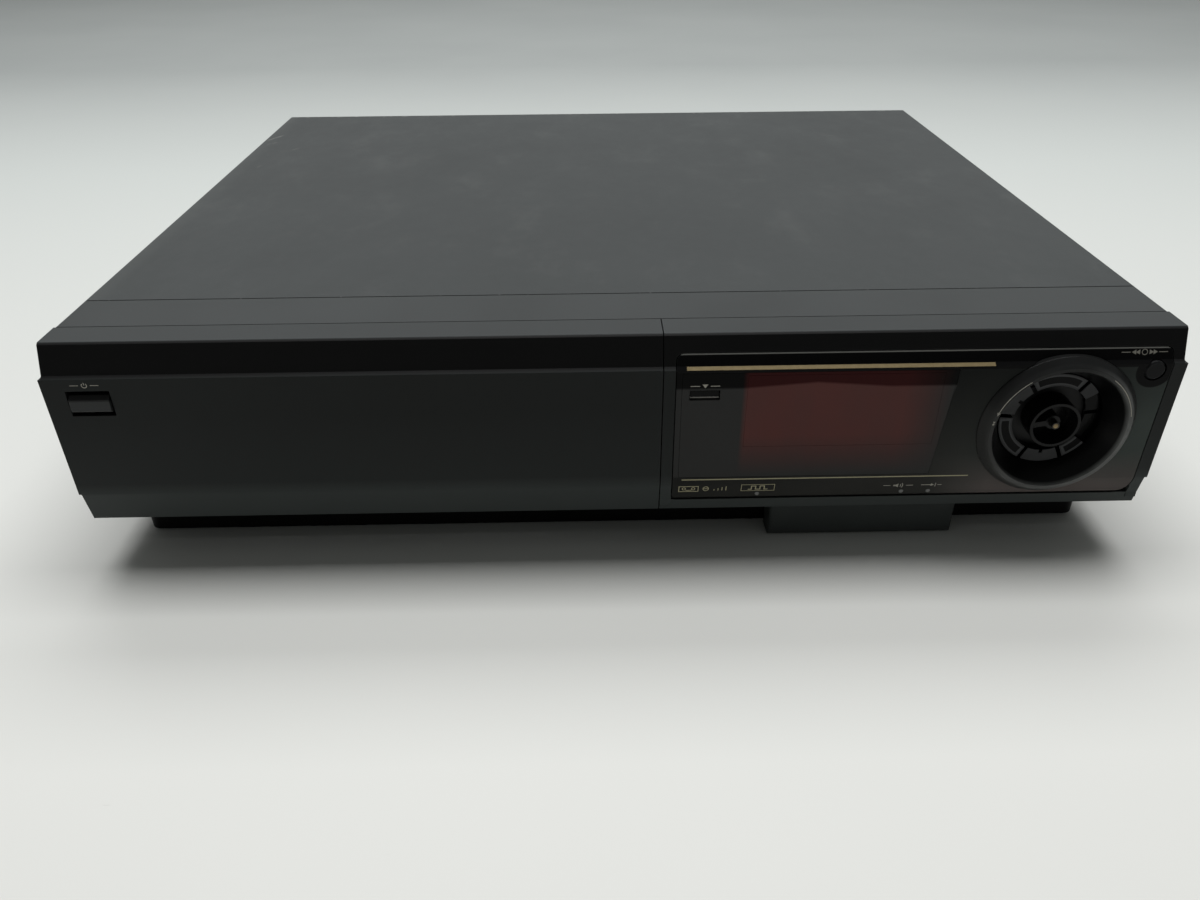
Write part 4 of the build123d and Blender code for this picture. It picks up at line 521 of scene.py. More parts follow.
def panel_plastic():
    """Control door: glossy black band, a painted dark reflection round the round button, smoked margin of the
    window, a satin panel with painted light falling off along a slanted line and a painted reflection near
    its foot, and a painted glint along its top edge.
    """
    look = Look("panel_plastic", edge=0.0003, specular=0.05)
    rubbed = look.rubbed()
    drop = look.drop()
    across = look.across()
    # painted dark reflection: near black close round the round button, joined to the black band
    button_reflection = look.ramp(look.distance((ROUND_X, FRONT_Y - LEDGE_OUT, TOP_Z - ROUND_DROP)), *BUTTON_REFLECTION_RADIUS)
    band = look.math("MAXIMUM", look.ramp(drop, PANEL_BAND_DROP + 0.0002, PANEL_BAND_DROP), button_reflection)
    # painted light: the panel is dark at the top and lighter lower down and to the right, along a slanted
    # line
    lit = look.math("ADD", drop, look.product(look.math("SUBTRACT", across, LIT_X), LIT_SLANT))
    lower = look.mix(look.ramp(across, *LIT_ACROSS), PANEL_LEFT_DIM, PANEL_RIGHT_LIT)
    panel = look.mix(look.ramp(lit, *LIT_DROP), PANEL_TOP_SHADE, lower)
    # painted reflection: paler near the foot on the right
    foot_light = look.product(look.ramp(drop, *FOOT_LIGHT_DROP), look.ramp(across, *FOOT_LIGHT_ACROSS))
    panel = look.mix(foot_light, panel, PANEL_FOOT_LIGHT)
    panel = look.mix(look.patches(30, 3, 0.4, 0.8, 0.0, 0.2), panel, PANEL_SWIRL)
    edge = look.ramp(drop, WINDOW_SLANT_DROP, WINDOW_FOOT, WINDOW_RIGHT, WINDOW_FOOT_RIGHT)
    inside = look.product(look.ramp(look.math("SUBTRACT", across, edge), 0.0001, -0.0001),
                          look.ramp(drop, WINDOW_FOOT, WINDOW_FOOT - 0.0002))
    body = look.mix(inside, panel, window_colour(look))
    body = look.mix(band, body, NEAR_BLACK)
    # painted glint along the top edge
    body = look.mix(look.ramp(drop, *PANEL_EDGE), body, EDGE_GLINT)
    share = look.product(rubbed, look.patches(190, 3, 0.35, 0.7, 0.05, 0.25))
    look.colour(look.mix(share, body, WORN))
    look.roughness(look.ramp(look.math("MAXIMUM", band, inside), 0.0, 1.0, 0.40, 0.20))
    look.grain(2600, 2, 0.05, 0.0002)
    return look.material


def dial_plastic():
    """Dial collar: bowl painted near black for shade, satin outer slope painted darker at the top and lighter
    towards its foot, and a painted highlight on the crest at its lower right.
    """
    origin = dial_point(0, 0, 0)
    look = Look("dial_collar", edge=0.0003, specular=0.14)
    height = look.along(BELT_NORMAL, origin)
    down = look.along(-BELT_UP, origin)
    crest = look.ramp(height, RIM_HEIGHT - 0.0016, RIM_HEIGHT - 0.0003)
    outside = look.ramp(look.distance(origin), CREST_RADIUS - 0.0012, CREST_RADIUS - 0.0004)
    low_right = look.ramp(look.along(Vector((0.8, 0, 0)) - 0.6 * BELT_UP, origin), *CREST_SIDE)
    highlight_patches = look.patches(75, 4, 0.35, 0.65, 0.55, 1.0)
    swirl = look.noise(60, 4)
    # painted shade: the bowl is painted near black
    bowl = look.mix(look.ramp(swirl, 0.35, 0.7), BOWL_SHADE_DARK, BOWL_SHADE_PALE)
    # painted light: the outer slope is darker at the top and lighter lower down
    slope = look.mix(look.ramp(down, *SLOPE_DOWN), SLOPE_TOP_SHADE, SLOPE_FOOT_LIGHT)
    body = look.mix(outside, bowl, slope)
    # painted highlight on the crest at the lower right, broken up by patches
    pale = look.product(look.product(crest, low_right), highlight_patches)
    look.colour(look.mix(pale, body, CREST_HIGHLIGHT))
    look.roughness(look.ramp(swirl, 0.3, 0.75, 0.27, 0.38))
    look.grain(1800, 2, 0.05, 0.0002)
    return look.material


def carrier_plastic():
    """Shuttle carrier: satin grey on its raised faces, near black painted as shade where it is sunk and in
    three painted windows on its raised faces, each window with a painted highlight round its rim.
    """
    look = Look("carrier_plastic", edge=0.0003, specular=0.08)
    rubbed = look.rubbed()
    origin = dial_point(0, 0, 0)
    raised = look.ramp(look.along(BELT_NORMAL, origin), *CARRIER_RAISED)
    side = look.along((1, 0, 0), origin)
    rise = look.along(BELT_UP, origin)
    radius = look.length(side, rise)
    thirds = look.math("COSINE", look.product(look.math("ARCTAN2", side, rise), 3.0))
    cloud = look.patches(120, 3, 0.35, 0.7)
    face = look.mix(cloud, CARRIER_DARK, CARRIER_PALE)
    # painted shade and highlight: three dark windows, each inside a paler rim, stand in for deep recesses
    for reach, inner, outer, shade in ((-0.02, 0.0154, 0.0194, CARRIER_RIM_HIGHLIGHT),
                                       (0.14, 0.0160, 0.0188, CARRIER_RECESS_SHADE)):
        ring = look.product(look.ramp(radius, inner - 0.0001, inner),
                            look.ramp(radius, outer + 0.0001, outer))
        share = look.product(ring, look.ramp(thirds, reach - 0.02, reach + 0.02))
        face = look.mix(share, face, shade)
    # painted shade: the sunk faces are painted near black
    body = look.mix(raised, CARRIER_RECESS_SHADE, face)
    look.colour(look.mix(look.product(rubbed, 0.5), body, CARRIER_EDGE))
    look.roughness(look.ramp(raised, 0.0, 1.0, 0.14, 0.40))
    look.grain(2400, 2, 0.06, 0.0002)
    return look.material


def shaft_brass():
    """Jog shaft: dull brass at the middle of its end, darker round it."""
    origin = dial_point(0, 0, 0)
    look = Look("shaft_brass", edge=0.0002, metallic=0.6)
    radius = look.length(look.along((1, 0, 0), origin), look.along(BELT_UP, origin))
    grime = look.patches(900, 3, 0.4, 0.7)
    brass = look.mix(grime, BRASS, BRASS_GRIMY)
    look.colour(look.mix(look.ramp(radius, *SHAFT_RADIUS), SHAFT_OUTER_DARK, brass))
    look.roughness(look.ramp(grime, 0.0, 1.0, 0.35, 0.55))
    look.grain(1200, 3, 0.10, 0.0001)
    return look.material


def power_cap():
    """Power key: painted shade on its top bevel, satin face and a painted highlight along its lower edge."""
    look = Look("power_cap", edge=0.0004, roughness=0.42, specular=0.2)
    rubbed = look.rubbed()
    drop = look.drop()
    # painted shade on the top bevel and a painted highlight along the lower edge
    face = look.mix(look.ramp(drop, *POWER_SHADE_DROP), POWER_SHADED_BEVEL, POWER_FACE)
    face = look.mix(look.ramp(drop, *POWER_FOOT_HIGHLIGHT_DROP), face, POWER_FOOT_HIGHLIGHT)
    look.colour(look.mix(look.product(rubbed, 0.4), face, WORN))
    look.grain(2400, 2, 0.10, 0.0002)
    return look.material


def latch_cap():
    """Opening button: glossy black with a painted highlight along its lower part."""
    look = Look("latch_cap", edge=0.0002, specular=0.08)
    drop = look.drop()
    # painted highlight: one pale line along the lower part
    from_latch_highlight = look.math("ABSOLUTE", look.math("SUBTRACT", drop, LATCH_HIGHLIGHT_DROP))
    latch_highlight = look.ramp(from_latch_highlight, *HIGHLIGHT_HALF)
    cloud = look.patches(400, 3, 0.3, 0.7)
    body = look.mix(cloud, LATCH_DARK, LATCH_PALE)
    look.colour(look.mix(latch_highlight, body, LATCH_HIGHLIGHT))
    look.roughness(look.ramp(cloud, 0.0, 1.0, 0.22, 0.34))
    look.grain(1800, 2, 0.04, 0.0001)
    return look.material


def printed(name, colour, rough=0.45, metallic=0.0):
    """Screen print: dense ink with a slightly broken edge and grain."""
    look = Look(name, metallic=metallic)
    ink = look.noise(3200, 2)
    look.colour(look.mix(look.ramp(ink, 0.35, 0.75), lighter(colour, 0.82), lighter(colour, 1.08)))
    look.roughness(look.patches(500, 2, 0.3, 0.7, rough - 0.06, rough + 0.06))
    look.bump(ink, 0.05, 0.00005)
    return look.material


def circuit_laminate(name, up, cans=False):
    """Circuit board: green mask with tracks under it, black chips on it and, on some, blue sleeved cans."""
    low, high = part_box(name)
    foot = high if up[1] else low
    look = Look(name + "_laminate", edge=0.0002, specular=0.5)
    height = look.along(up, foot)
    tracks = look.add("TexBrick", {"Vector": look.place, "Scale": 95.0, "Mortar Size": 0.028,
                                   "Color1": (0, 0, 0, 1), "Color2": (0.2, 0.2, 0.2, 1),
                                   "Mortar": (1, 1, 1, 1)}).outputs["Color"]
    mask = look.mix(look.product(tracks, 0.6), MASK_GREEN, TRACK_GREEN)
    mask = look.mix(look.patches(300, 3, 0.45, 0.8, 0.0, 0.4), mask, CLOUD_GREEN)
    black = look.mix(look.patches(800, 3, 0.4, 0.7), CHIP_DARK, CHIP_PALE)
    body = look.mix(look.ramp(height, BOARD_THICK + 0.00005, BOARD_THICK + 0.0002), mask, black)
    if cans:
        top = high.z - low.z
        body = look.mix(look.ramp(height, CHIP_TOP, CHIP_TOP + 0.0002), body, CAN_SLEEVE)
        body = look.mix(look.ramp(height, top - 0.0004, top - 0.0002), body, CAN_TOP)
    look.colour(body)
    look.roughness(look.patches(60, 2, 0.3, 0.7, 0.32, 0.45))
    look.bump(tracks, 0.15, 0.0001)
    return look.material


def socket_metal(name):
    """Plated socket shells standing on a black moulded block."""
    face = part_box("rear_panel")[0].y
    look = Look(name, edge=0.0002, specular=0.3)
    shell = look.ramp(look.along((0, 1, 0), (0, face, 0)), 0.0001, 0.0003)
    tarnish = look.patches(260, 4, 0.4, 0.75)
    plate = look.mix(tarnish, PLATING, PLATING_DULL)
    block = look.mix(tarnish, BLOCK_DARK, BLOCK_PALE)
    look.colour(look.mix(shell, block, plate))
    look.roughness(look.ramp(shell, 0.0, 1.0, 0.50, 0.27))
    look.feed(look.shader.inputs["Metallic"], shell)
    look.grain(1600, 2, 0.04, 0.0001)
    return look.material


def laminations():
    """Transformer core: stacked plates under varnish."""
    look = Look("core_steel", edge=0.0003, metallic=0.6)
    plates = look.add("TexWave", {"Vector": look.place, "Scale": 320.0, "Distortion": 0.2,
                                  "Detail": 1.0}, bands_direction="Y").outputs["Fac"]
    rust = look.noise(90, 5)
    body = look.mix(plates, CORE_GAP, CORE_PLATE)
    look.colour(look.mix(look.ramp(rust, 0.55, 0.75, 0.0, 0.6), body, RUST))
    look.roughness(look.ramp(rust, 0.4, 0.75, 0.4, 0.65))
    look.bump(plates, 0.4, 0.0003)
    return look.material


def rubber():
    """Black rubber, dusty where it meets the table."""
    look = Look("rubber", edge=0.0005, roughness=0.78)
    dust = look.patches(260, 5, 0.45, 0.75, 0.0, 0.45)
    look.colour(look.mix(dust, RUBBER, RUBBER_DUST))
    look.grain(1500, 3, 0.3, 0.0003)
    return look.material


def floor_paint():
    """Pale painted floor: fine scuffs, and painted shade that darkens it with distance behind the object."""
    look = Look("floor_paint", roughness=0.62, specular=0.25)
    away = look.along((0, 1, 0), (0, FRONT_Y, 0))
    # painted shade: the floor is painted darker with distance behind the front of the object
    shaded_floor = look.mix(look.ramp(away, -0.05, 0.60), FLOOR_NEAR, FLOOR_MID_SHADE)
    shaded_floor = look.mix(look.ramp(away, 0.60, 1.15), shaded_floor, FLOOR_FAR_SHADE)
    cloud = look.patches(4, 4, 0.35, 0.7, 0.0, 0.08)
    shaded_floor = look.mix(cloud, shaded_floor, FLOOR_CLOUD)
    hair = look.ramp(look.noise(34, 3, (1.0, 9.0, 1.0)), 0.772, 0.785, 0.0, 0.2)
    look.colour(look.mix(hair, shaded_floor, FLOOR_HAIR))
    look.grain(300, 2, 0.02, 0.0005)
    return look.material


# ---- geometry helpers
def show(thing):
    """Put an object in the scene."""
    bpy.context.scene.collection.objects.link(thing)


def front_out(drop):
    """How far the moulded front stands ahead of its top edge at a drop."""
    for (high, out_high), (low, out_low) in zip(PROFILE, PROFILE[1:]):
        if drop <= low:
            return out_high + (out_low - out_high) * (drop - high) / (low - high)
    return CHIN_OUT


def on_front(x, drop, lift=PRINT_LIFT):
    """A point just off the moulded front at an X and a drop."""
    return Vector((x, FRONT_Y - front_out(drop) - lift, TOP_Z - drop))


def dial_point(radius, angle, height):
    """A point by radius and angle round the dial's axis and height above the belt; zero is at twelve."""
    centre = Vector((DIAL_X, FRONT_Y - LEDGE_OUT + (DIAL_DROP - LEDGE_DROP) * (LEDGE_OUT - BELT_OUT)
                     / (BELT_DROP - LEDGE_DROP), TOP_Z - DIAL_DROP))
    side = Vector((sin(angle), 0, 0)) + cos(angle) * BELT_UP
    return centre + radius * side + height * BELT_NORMAL


def link(name, mesh, material, body):
    """Put a mesh in the scene with its material, riding on a body."""
    piece = bpy.data.objects.new(name, mesh)
    show(piece)
    piece.data.materials.append(material)
    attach(piece, body)


def faces_mesh(name, points, faces):
    mesh = bpy.data.meshes.new(name)
    mesh.from_pydata([tuple(point) for point in points], [], faces)
    mesh.update()
    return mesh


def stripe(name, ends, foot, top, material, lift=PRINT_LIFT):
    """A line printed on the control door between two Xs and two drops."""
    corners = [on_front(x, drop, lift) for drop in (foot, top) for x in ends]
    link(name, faces_mesh(name, corners, [(0, 1, 3, 2)]), material, "control_panel")


def round_path(radius, start=0, end=360, centre=(0, 0), steps=24):
    """A circle or an arc as a path in millimetres; angles are in degrees from twelve o'clock."""
    turns = [radians(start + (end - start) * k / steps) for k in range(steps + 1)]
    return [(round(centre[0] + radius * sin(turn), 6), round(centre[1] + radius * cos(turn), 6))
            for turn in turns]


def box_path(width, height, centre=(0, 0)):
    """A closed rectangle as a path in millimetres."""
    (u, v), (half_u, half_v) = centre, (width / 2, height / 2)
    return [(u - half_u, v - half_v), (u + half_u, v - half_v), (u + half_u, v + half_v),
            (u - half_u, v + half_v), (u - half_u, v - half_v)]


def pointer(u, size, way=1):
    """A filled triangle pointing right, or left where way is -1, as a mark."""
    return 0, [(u - way * size * 0.45, -way * size / 2), (u + way * size * 0.45, 0),
               (u - way * size * 0.45, way * size / 2)]


def dash(left, right, pen=0.30, height=0):
    """A level dash as a mark."""
    return pen, [(left, height), (right, height)]


def upright(u, foot, top, pen=0.34):
    """An upright dash as a mark."""
    return pen, [(u, foot), (u, top)]


def sign(name, marks, place, material, body):
    """Marks printed on a surface: (pen, path) pairs in millimetres; a pen of 0 fills the path."""
    points, faces = [], []
    for pen, path in marks:
        first = len(points)
        if pen == 0:
            points += [place(u, v) for u, v in path]
            faces.append(tuple(range(first, len(points))))
            continue
        closed = path[0] == path[-1]
        ways = [(Vector(after) - Vector(spot)).normalized() for spot, after in zip(path, path[1:])]
        for index, spot in enumerate(path):
            before = ways[index - 1] if index or closed else ways[0]
            after = ways[index] if index < len(ways) else ways[0] if closed else ways[-1]
            across = Vector((-before.y - after.y, before.x + after.x))
            offset = across * pen / across.length_squared
            for edge in (Vector(spot) + offset, Vector(spot) - offset):
                points.append(place(edge.x, edge.y))
        faces += [(k, k + 1, k + 3, k + 2) for k in range(first, len(points) - 2, 2)]
    link(name, faces_mesh(name, points, faces), material, body)


def front_place(x, drop):
    """Where marks about a spot on the front go."""
    return lambda u, v: on_front(x + u * MM, drop - v * MM)


def crest_place(angle, radius=CREST_RADIUS):
    """Where marks about a spot on the dial's crest go; they turn with the angle."""
    return lambda u, v: dial_point(radius + v * MM, angle + u * MM / radius, RIM_HEIGHT + PRINT_LIFT)


def key_place(name):
    """Where marks on a transport key's cap go."""
    low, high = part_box(name)
    middle = (low + high) / 2
    return lambda u, v: Vector((middle.x + u * MM, low.y - PRINT_LIFT, middle.z + v * MM))


def circle(radius, segments):
    """A circle as flat points."""
    return [(radius * cos(2 * pi * k / segments), radius * sin(2 * pi * k / segments))
            for k in range(segments)]


def looper(form, centre, axis):
    """A function that adds flat points, at a height along an axis, to a form."""
    axis = Vector(axis).normalized()
    across = axis.orthogonal().normalized()
    other = axis.cross(across)
    return lambda points, height: [form.verts.new(Vector(centre) + height * axis + x * across + y * other)
                                   for x, y in points]


def wall(form, first, second):
    """Faces between two loops of a form; either may be a single point."""
    for k in range(max(len(first), len(second))):
        corners = [first[k % len(first)], first[(k + 1) % len(first)], second[(k + 1) % len(second)],
                   second[k % len(second)]]
        form.faces.new(list(dict.fromkeys(corners)))


def formed(name, form):
    """The mesh of a finished form, its faces turned outwards."""
    bmesh.ops.recalc_face_normals(form, faces=form.faces)
    mesh = bpy.data.meshes.new(name)
    form.to_mesh(mesh)
    form.free()
    return mesh


def turned(name, profile, centre, axis, material, body, segments):
    """A turned form from (radius, height) pairs about an axis."""
    form = bmesh.new()
    loop = looper(form, centre, axis)
    rings = [loop(circle(radius, segments) if radius else [(0, 0)], height) for radius, height in profile]
    for first, second in zip(rings, rings[1:]):
        wall(form, first, second)
    bmesh.ops.remove_doubles(form, verts=form.verts, dist=1e-7)
    mesh = formed(name, form)
    mesh.shade_smooth()
    mesh.set_sharp_from_angle(angle=radians(35))
    link(name, mesh, material, body)


def drawn_out(name, outlines, near, far, material, body):
    """Outlines in X and Z drawn out along Y into closed blocks of one mesh."""
    points, faces = [], []
    for outline in outlines:
        first, count = len(points), len(outline)
        points += [(x, y, z) for y in (near, far) for x, z in outline]
        faces.append(tuple(range(first, first + count)))
        faces.append(tuple(reversed(range(first + count, first + 2 * count))))
        faces += [(first + k, first + count + k, first + count + (k + 1) % count, first + (k + 1) % count)
                  for k in range(count)]
    link(name, faces_mesh(name, points, faces), material, body)


def screw(name, centre, axis, rise, material):
    """A screw in the case, with a low domed head and a cross recess."""
    radius = HEAD_RADIUS
    arm, half = radius * 0.55, radius * 0.13
    cross = [(arm, -half), (arm, half), (half, half), (half, arm), (-half, arm), (-half, half), (-arm, half),
             (-arm, -half), (-half, -half), (-half, -arm), (half, -arm), (half, -half)]
    form = bmesh.new()
    loop = looper(form, centre, axis)
    foot = loop(circle(radius, HEAD_SEGMENTS), 0)
    shoulder = loop(circle(radius, HEAD_SEGMENTS), rise * 0.58)
    top = loop(circle(radius * 0.78, HEAD_SEGMENTS), rise)
    recess = loop(cross, rise)
    floor = loop(cross, rise * 0.20)
    for first, second in ((foot, shoulder), (shoulder, top), (recess, floor)):
        wall(form, first, second)
    form.faces.new(floor)
    pairs = [(ring[k - 1], ring[k]) for ring in (top, recess) for k in range(len(ring))]
    bmesh.ops.triangle_fill(form, edges=[form.edges.get(pair) for pair in pairs], use_beauty=True)
    link(name, formed(name, form), material, "chassis")


# ---- finishes on the CAD pieces
def finish_nodes():
    """Give every CAD node its material."""
    black = moulded("black_plastic", (0.006, 0.006, 0.0063), 0.52, wear=0.2, specular=0.25)
    steel = metal("deck_steel", (0.50, 0.51, 0.50), 0.36)
    plated = metal("plated_metal", PLATING, 0.26, (1, 1, 1), 0.02)
    polished = metal("polished_steel", (0.66, 0.66, 0.66), 0.16, (1, 1, 1), 0.01)
    aluminium = metal("turned_aluminium", (0.70, 0.70, 0.69), 0.24, (1, 1, 18), 0.06, 500.0)
    sockets = socket_metal("socket_metal")
    level, forward = (0, 0, 1), (0, -1, 0)
    grey_key = moulded("button_grey", (0.060, 0.065, 0.065), 0.45, wear=0.4)
    reel_grey = moulded("reel_plastic", (0.48, 0.48, 0.45), 0.42, worn=(0.6, 0.6, 0.57))
    table = {
        "top_cover": cover_paint(),
        "front_frame": moulded("frame_plastic", FRAME_GREY, 0.47, wear=0.3, chips=CHIPS, specular=0.15),
        "cassette_door": front_plastic("door_plastic"),
        "right_fascia": front_plastic("fascia_plastic"),
        "control_door": panel_plastic(),
        "front_support_foot": moulded("foot_plastic", lighter(FRONT_GREY, 3.0), 0.5, specular=0.2),
        "lower_chassis": moulded("pan_paint", (0.0032, 0.0030, 0.0030), 0.5, 1500.0, 0.15, specular=0.1),
        "rear_panel": moulded("rear_paint", (0.018, 0.019, 0.020), 0.5, 1700.0, 0.18),
        "rubber_feet": rubber(),
        "display_window": window_acrylic("smoked_acrylic"),
        "display_filter": window_acrylic("filter_acrylic"),
        "dial_collar": dial_plastic(),
        "shuttle_carrier": carrier_plastic(),
        "jog_hub": coated("hub_black", (0.0045, 0.0046, 0.0047), 0.20, specular=0.14),
        "jog_shaft": shaft_brass(),
        "open_button": latch_cap(),
        "jog_shuttle_button": moulded("round_button", (0.011, 0.0112, 0.0118), 0.34, wear=0.9, specular=0.06),
        "power_button": power_cap(),
        "pinch_roller": rubber(), "transformer": laminations(),
        "main_board": circuit_laminate("main_board", level, True),
        "tbc_board": circuit_laminate("tbc_board", level),
        "power_board": circuit_laminate("power_board", level, True),
        "front_board": circuit_laminate("front_board", forward),
    }
    shared = ((sockets, ("rca_sockets", "aerial_sockets")),
              (plated, ("serial_connector", "loading_motor")),
              (aluminium, ("drum_base", "drum_rotor", "heat_sink")),
              (polished, ("capstan_flywheel", "guide_posts", "board_spacers", "audio_control_head",
                          "erase_head")),
              (reel_grey, ("supply_reel", "take_up_reel")),
              (steel, ("deck_plate", "side_plate_left", "side_plate_right", "cassette_holder",
                       "loading_slider", "pinch_arm")))
    for material, names in shared:
        table.update(dict.fromkeys(names, material))
    for name, node in NODES.items():
        node.data.materials.clear()
        node.data.materials.append(table.get(name, grey_key if name.endswith("_key") else black))


# ---- prints, lamps and fasteners
def front_prints():
    """Stripes and signs printed on the front; the signs are plain shapes, never letters."""
    gold = printed("gold_ink", GOLD, 0.34, 0.35)
    faint_gold = printed("faint_gold_ink", FAINT_GOLD, 0.45)
    pale = printed("pale_ink", PALE_PRINT)
    dim = printed("dim_ink", DIM_PRINT)
    stripe("gold_stripe", GOLD_STRIPE_ENDS, LEDGE_DROP - PRINT_EDGE, BAND_DROP + PRINT_EDGE, gold,
           2 * PRINT_EDGE)
    stripe("gold_line", GOLD_LINE_ENDS, GOLD_LINE_DROP + GOLD_LINE_HALF, GOLD_LINE_DROP - GOLD_LINE_HALF,
           faint_gold)
    signs = {
        "power_sign": (pale, [(0.30, round_path(0.95, 40, 320)), upright(0, 0.1, 1.2, 0.30),
                              dash(-5.4, -2.2, 0.26), dash(2.2, 5.4, 0.26)]),
        "open_sign": (pale, [dash(-5.6, -2.0), dash(2.0, 5.6), (0, [(-1.1, 0.75), (0, -0.85), (1.1, 0.75)])]),
        "jog_sign": (dim, [(0.28, round_path(1.0)), dash(-8.8, -5.4, 0.25), dash(5.4, 8.8, 0.25),
                           pointer(2.6, 1.8), pointer(4.1, 1.8), pointer(-2.6, 1.8, -1),
                           pointer(-4.1, 1.8, -1)]),
        "tape_sign": (faint_gold, [(0.32, box_path(7.8, 2.8)),
                                   (0.32, round_path(0.66, centre=(-1.9, 0.1), steps=16)),
                                   (0.32, round_path(0.66, centre=(1.9, 0.1), steps=16)),
                                   dash(-1.2, 1.2, 0.32, -0.7), (0.34, round_path(1.1, centre=(7.0, 0))),
                                   dash(5.9, 8.1, 0.32), upright(10.4, -1.1, -0.3), upright(12.0, -1.1, 0.2),
                                   upright(13.6, -1.1, 0.7), upright(15.2, -1.1, 1.2)]),
        "pulse_sign": (faint_gold, [(0.24, box_path(13.4, 3.4)),
                                    (0.42, [(-4.0, -0.9), (-2.6, -0.9), (-2.6, 0.9), (-0.9, 0.9),
                                            (-0.9, -0.9), (0.9, -0.9), (0.9, 0.9), (2.6, 0.9), (2.6, -0.9),
                                            (4.0, -0.9)])]),
        "sound_sign": (pale, [(0, [(-2.0, -0.4), (-1.0, -0.4), (-1.0, 0.4), (-2.0, 0.4)]),
                              (0, [(-1.0, -0.4), (0.0, -1.0), (0.0, 1.0), (-1.0, 0.4)]),
                              (0.32, round_path(1.1, 50, 130, (-0.1, 0), 8)),
                              (0.32, round_path(1.9, 50, 130, (-0.1, 0), 8)),
                              dash(-6.0, -3.2), dash(3.2, 6.0)]),
        "insert_sign": (pale, [dash(-3.9, 0.2, 0.34), pointer(0.7, 1.5), upright(1.9, -1.0, 1.0),
                               dash(2.8, 4.4)]),
    }
    for name, (ink, marks) in signs.items():
        body = "chassis" if name == "power_sign" else "control_panel"
        sign(name, marks, front_place(*SIGN_PLACES[name]), ink, body)


def dial_prints():
    """Direction arcs on the dial's crest, with an arrowhead and a reverse sign."""
    pale = printed("dial_ink", PALE_PRINT)
    around = CREST_RADIUS / MM

    def arc(start, end, steps=24):
        return 0.30, [(around * radians(start + (end - start) * k / steps), 0) for k in range(steps + 1)]

    head = around * radians(REVERSE_ARC[0])
    arrow = 0.30, [(head + 1.2, 0.5), (head, 0), (head + 1.2, -0.5)]
    sign("reverse_arc", [arc(*REVERSE_ARC), arrow], crest_place(0), pale, "control_panel")
    sign("forward_arc", [arc(*FORWARD_ARC)], crest_place(0), pale, "control_panel")
    sign("reverse_sign", [pointer(-0.5, 1.0, -1), pointer(0.5, 1.0, -1)],
         crest_place(radians(REVERSE_SIGN_ANGLE)), pale, "control_panel")


def key_prints():
    """A plain sign on each transport key."""
    pale = printed("key_ink", KEY_PRINT)
    record = printed("record_ink", RECORD_PRINT)

    def block(width, height, centre=(0, 0)):
        return 0, box_path(width, height, centre)[:4]

    signs = {
        "rewind_key": [pointer(-0.8, 1.7, -1), pointer(0.8, 1.7, -1)],
        "play_key": [pointer(0, 2.0)],
        "fast_forward_key": [pointer(-0.8, 1.7), pointer(0.8, 1.7)],
        "eject_key": [(0, [(-1.0, -0.2), (1.0, -0.2), (0, 1.0)]), block(2.0, 0.4, (0, -0.75))],
        "pause_key": [block(0.5, 1.8, (-0.5, 0)), block(0.5, 1.8, (0.5, 0))],
        "stop_key": [block(1.7, 1.7)],
        "record_key": [(0, round_path(0.9, 360, 0)[:24])],
    }
    for name, marks in signs.items():
        sign(name + "_sign", marks, key_place(name), record if name == "record_key" else pale, name)


def lamps():
    """Three small lamp lenses at the lower edge of the control door."""
    lens = coated("lamp_lens", LENS_GREY, 0.2)
    profile = [(LAMP_RADIUS, -LAMP_SUNK), (LAMP_RADIUS, LAMP_RISE / 2), (LAMP_RADIUS * 2 / 3, LAMP_RISE),
               (0, LAMP_RISE)]
    for name, x in LAMP_PLACES.items():
        turned(name, profile, on_front(x, LAMP_DROP, 0.0), (0, -1, 0), lens, "control_panel", 24)


def screws():
    """Screws on the rear panel and on both sides of the cover."""
    dark = metal("screw_steel", (0.10, 0.10, 0.10), 0.35, (1, 1, 1), 0.03)
    panel_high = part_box("rear_panel")[1]
    for number, (x, z) in enumerate(REAR_SCREWS, 1):
        screw(f"rear_screw_{number}", (x, panel_high.y, z), (0, 1, 0), REAR_HEAD_RISE, dark)
    for side, way, x in (("left", -1, cover_low.x), ("right", 1, cover_high.x)):
        for number, back in enumerate(SIDE_SCREWS_BACK, 1):
            screw(f"side_screw_{side}_{number}", (x, FRONT_Y + back, SIDE_SCREWS_UP), (way, 0, 0),
                  SIDE_HEAD_RISE, dark)


def phono_rings():
    """Coloured rings at the roots of the phono sockets: yellow for picture, white and red for sound."""
    yellow = moulded("ring_yellow", (0.62, 0.42, 0.03), 0.40, worn=(0.75, 0.6, 0.2))
    white = moulded("ring_white", (0.60, 0.60, 0.57), 0.40, worn=(0.7, 0.7, 0.68))
    red = moulded("ring_red", (0.45, 0.025, 0.02), 0.40, worn=(0.6, 0.15, 0.12))
    panel_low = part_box("rear_panel")[0]
    profile = [(RING_INNER, 0), (RING_OUTER, 0), (RING_OUTER, RING_THICK), (RING_INNER, RING_THICK),
               (RING_INNER, 0)]
    mounts = frame["record"]["mounts"]
    places = [mount["pos_m"] for mount in mounts if mount["name"].startswith("phono_socket")]
    for number, (place, plastic) in enumerate(zip(places, (yellow, yellow, white, red)), 1):
        turned(f"phono_ring_{number}", profile, (place[0], panel_low.y, place[2]), (0, 1, 0), plastic,
               "chassis", 40)


